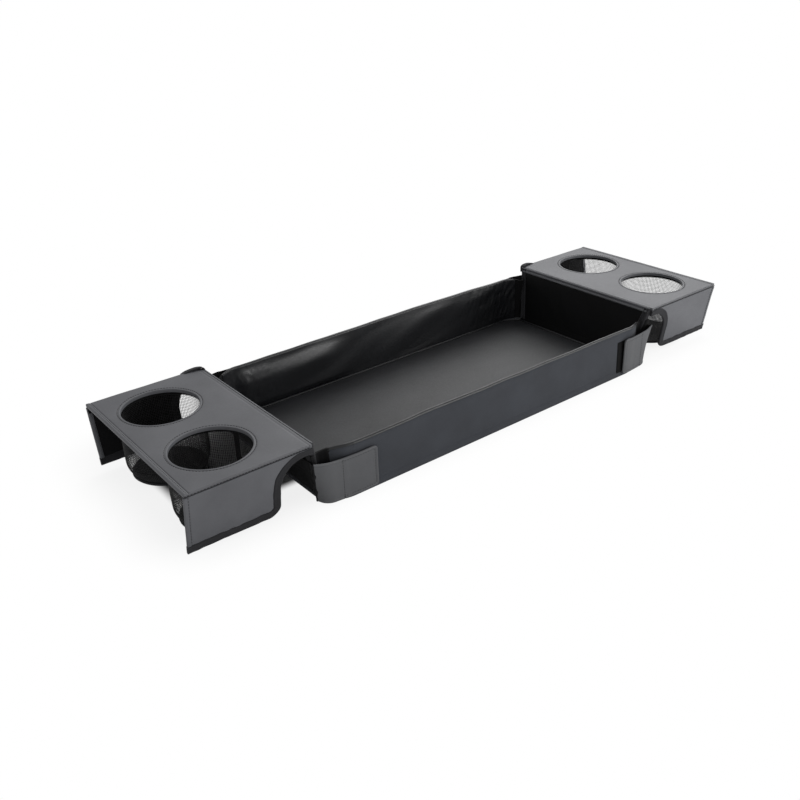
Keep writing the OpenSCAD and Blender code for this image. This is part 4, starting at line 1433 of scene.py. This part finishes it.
def flap_sheet(name, side, flip, deep, thickness, seed, finish):
    """A closed sheet within the flap, at a depth from its outer face."""
    points, index, faces = [], {}, []
    for i in range(int((PANEL_LEN - 1) / SHEET_STEP)):
        for k in range(int(FLAP_LEN / SHEET_STEP)):
            if not inside_flap((i + 0.5) * SHEET_STEP, (k + 0.5) * SHEET_STEP):
                continue
            cell = [(i, k), (i + 1, k), (i + 1, k + 1), (i, k + 1)]
            for n in cell:
                if n not in index:
                    index[n] = len(points)
                    u, v = n[0] * SHEET_STEP + 0.3, n[1] * SHEET_STEP + 0.2
                    points.append(flap_point(u, v, deep - flap_relief(u, v, seed)))
            faces.append([index[n] for n in cell])
    made = tidy(mesh_object(name, mirrored(points, side, flip), faces, finish))
    solid = made.modifiers.new("thickness", "SOLIDIFY")
    solid.thickness = thickness * MM
    solid.offset = 0
    return tidy(plain(made))


def flap_tape(name, side, flip, seed):
    """Wide tape, folded over the bound edge and a little uneven in width."""
    loops = []
    for (u, v), into in zip(edge_path, edge_in):
        room = (v - 0.3) / max(-into[1], 1e-3) if into[1] < 0 else 99
        width = min(TAPE_W + 0.9 * wrinkle(u, v, 0, 11, seed), room)
        off = flap_relief(u, v, seed) + 0.35 * wrinkle(u, v, 0, 7, seed + 5) * step_up(v, 4, 14)
        section = [(0.5, 0.05), (0.05, 0.7), (-0.15, 1.6), (0.05, 2.5), (0.5, 3.15), (width * 0.4, 3.3),
                   (width - 0.7, 3.25), (width, 2.9), (width, 0.35), (width - 0.5, -0.12),
                   (width - 1.5, -0.3), (width - 2.6, -0.02), (width * 0.4, 0.0), (1.6, -0.22)]
        loops.append(mirrored([flap_point(u + q * into[0], v + q * into[1], d - off) for q, d in section],
                              side, flip))
    return loft(name, loops, binding_tape)


def flap_hem(name, side, flip, seed):
    """The outer edge: the leatherette turned over twice."""
    low, high = PANEL_LEN - HEM_W, PANEL_LEN
    section = [(low, 0.5), (low + 0.5, 0.12), (low + 2.5, 0.0), (high - 0.9, 0.1), (high - 0.1, 0.8),
               (high, 1.6), (high - 0.1, 2.4), (high - 0.9, 3.1), (low + 0.6, 3.1), (low, 2.7)]
    loops = []
    for v in np.linspace(0.4, FLAP_LEN - TAPE_W + 1, 34):
        off = flap_relief(PANEL_LEN - 3, v, seed) + 0.12 * wrinkle(0, v, 0, 8, seed)
        loops.append(mirrored([flap_point(u, v, d - off) for u, d in section], side, flip))
    return loft(name, loops, leatherette)


FOLD_PATH = [(-2.4, 5.0, -8), (-1.6, 4.2, 0.4), (3, 2.6, 2.4), (10, 1.0, 2.1), (18, 0.2, 1.0),
             (25, -0.4, -1.4)]
FOLD_SECTION = [(-1, 0), (-0.85, 0.9), (-0.55, 0.5), (0, 0.25), (0.5, 0.5), (0.8, 1.0), (1, 0.2), (1, -0.6),
                (0, -0.7), (-1, -0.6)]
FOLD_HALF = 4.4


def corner_fold(name, side):
    """Tape that comes up over a panel's inner back corner and runs on along its edge."""
    knots = [(PANEL_IN + u, PANEL_HALF - y, PANEL_Z + z) for u, y, z in FOLD_PATH]
    flat, rise = smooth_path([p[:2] for p in knots], 30), smooth_path([p[1:] for p in knots], 30)
    path = np.column_stack([flat[:, 0], flat[:, 1], rise[:, 1]])
    loops = []
    for k, (spot, run) in enumerate(zip(path, np.gradient(path, axis=0))):
        out = np.cross(run, (0, -1, 0))
        out /= -np.linalg.norm(out)
        loop = []
        for a, lift in FOLD_SECTION:
            droop = 2.2 * max(a, 0) ** 1.5 * abs(out[2])
            loop.append((spot[0] + out[0] * lift, spot[1] + FOLD_HALF * a,
                         spot[2] + out[2] * lift - droop + 0.25 * wrinkle(k, a * 3, 0, 6, 2.0 + side)))
        loops.append(mirrored(loop, side))
    return loft(name, loops, binding_tape)


for side, side_name in SIDES:
    fold = corner_fold(f"{side_name}_panel_corner_fold", side)
    dress(fold, f"{side_name}_panel")
    for flip, end_name in ENDS:
        body = f"{side_name}_{end_name}_flap"
        seed = 4.0 + 2 * side + flip
        face = flap_sheet(f"{body}_leatherette", side, flip, 0.95, 1.0, seed, leatherette)
        dress(face, body, f"{body}_skin")
        lining = flap_sheet(f"{body}_lining", side, flip, 2.05, 1.1, seed, black_fabric)
        dress(lining, body, f"{body}_stiffener")
        dress(flap_tape(f"{body}_tape", side, flip, seed), body, f"{body}_binding")
        dress(flap_hem(f"{body}_hem", side, flip, seed), body)
        u = PANEL_LEN - HEM_W + 0.8
        line = [flap_point(u, v, -0.08 - flap_relief(u, v, seed))
                for v in np.linspace(1.5, FLAP_LEN - TAPE_W - 1, 40)]
        stitches(f"{body}_stitches", [mirrored(line, side, flip)], body, thread_black,
                 thread=0.35)

# Fold strips
# The boards stop short of each fold, and only the skin runs on across it: outer
# fabric at the long walls, liner inside the end walls, and black lining behind
# the flaps. The lining also laps over the end boards' tops, under the panels.
STRIP_T = 0.6


def fold_strip(name, section, low, high, finish, side=1, flip=1, along_x=False):
    """The skin across a fold: a curved section, across and up, carried along the fold."""
    line = smooth_path(section, 18)
    run = unit_run(line)
    out = np.stack([run[:, 1], -run[:, 0]], axis=1) * STRIP_T / 2
    rows = [[mirrored([(a, q, z) if along_x else (q, a, z) for q, z in pair], side, flip)
             for pair in zip(line + out, line - out)] for a in np.linspace(low, high, 60)]
    return skin(name, rows, finish)


def bridge(strip):
    """Bakes a strip's place into its mesh."""
    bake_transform(strip)


for flip, end_name in ENDS:
    section = [(-HALF_W - 0.1, RIM_TOP - 3), (-HALF_W - 0.25, RIM_TOP - 1), (-HALF_W - 0.25, WALL_FOOT + 2),
               (-HALF_W + 0.6, WALL_FOOT + 6)]
    strip = fold_strip(f"{end_name}_wall_fold_strip", section, -WALL_HALF, WALL_HALF, loop_fabric, flip=flip,
                       along_x=True)
    bridge(strip)

low_x, _, low_z = end_point(0, 1.2, END_T + 0.4)
high_x, _, high_z = end_point(0, 6.0, END_T + 0.2)
for side, side_name in SIDES:
    section = [(HALF_LEN - 8.2, FLOOR_TOP + 0.1), (HALF_LEN - 6.9, FLOOR_TOP + 0.4), (low_x, low_z),
               (high_x, high_z)]
    # The strip is the end vinyl with its painted shade
    strip = fold_strip(f"{side_name}_end_fold_strip", section, -END_HALF, END_HALF, shaded_end_vinyl, side)
    bridge(strip)

top_x, _, top_z = end_point(0, COVER_LEN - 0.8, -0.2)
under_x, _, under_z = end_point(0, COVER_LEN - 7, -0.2)
lap_half = end_half(COVER_LEN) - 2
for side, side_name in SIDES:
    section = [(under_x, under_z), (top_x, top_z), (top_x - 0.8, PANEL_UNDER - 0.15),
               (top_x - 5.4, PANEL_UNDER - 0.15)]
    lap = fold_strip(f"{side_name}_end_top_lap", section, -lap_half, lap_half, black_fabric, side)
    dress(lap, f"{side_name}_end")

_, near_y, near_z = flap_point(0, 1.6, 3.7)
_, far_y, far_z = flap_point(0, 7.5, 3.5)
for side, side_name in SIDES:
    for flip, end_name in ENDS:
        section = [(9 - PANEL_HALF, PANEL_UNDER - 0.3), (6 - PANEL_HALF, PANEL_UNDER - 0.4), (near_y, near_z),
                   (far_y, far_z)]
        strip = fold_strip(f"{side_name}_{end_name}_flap_fold_strip", section, PANEL_IN + 6,
                           PANEL_IN + PANEL_LEN - 1, black_fabric, side, flip, along_x=True)
        bridge(strip)
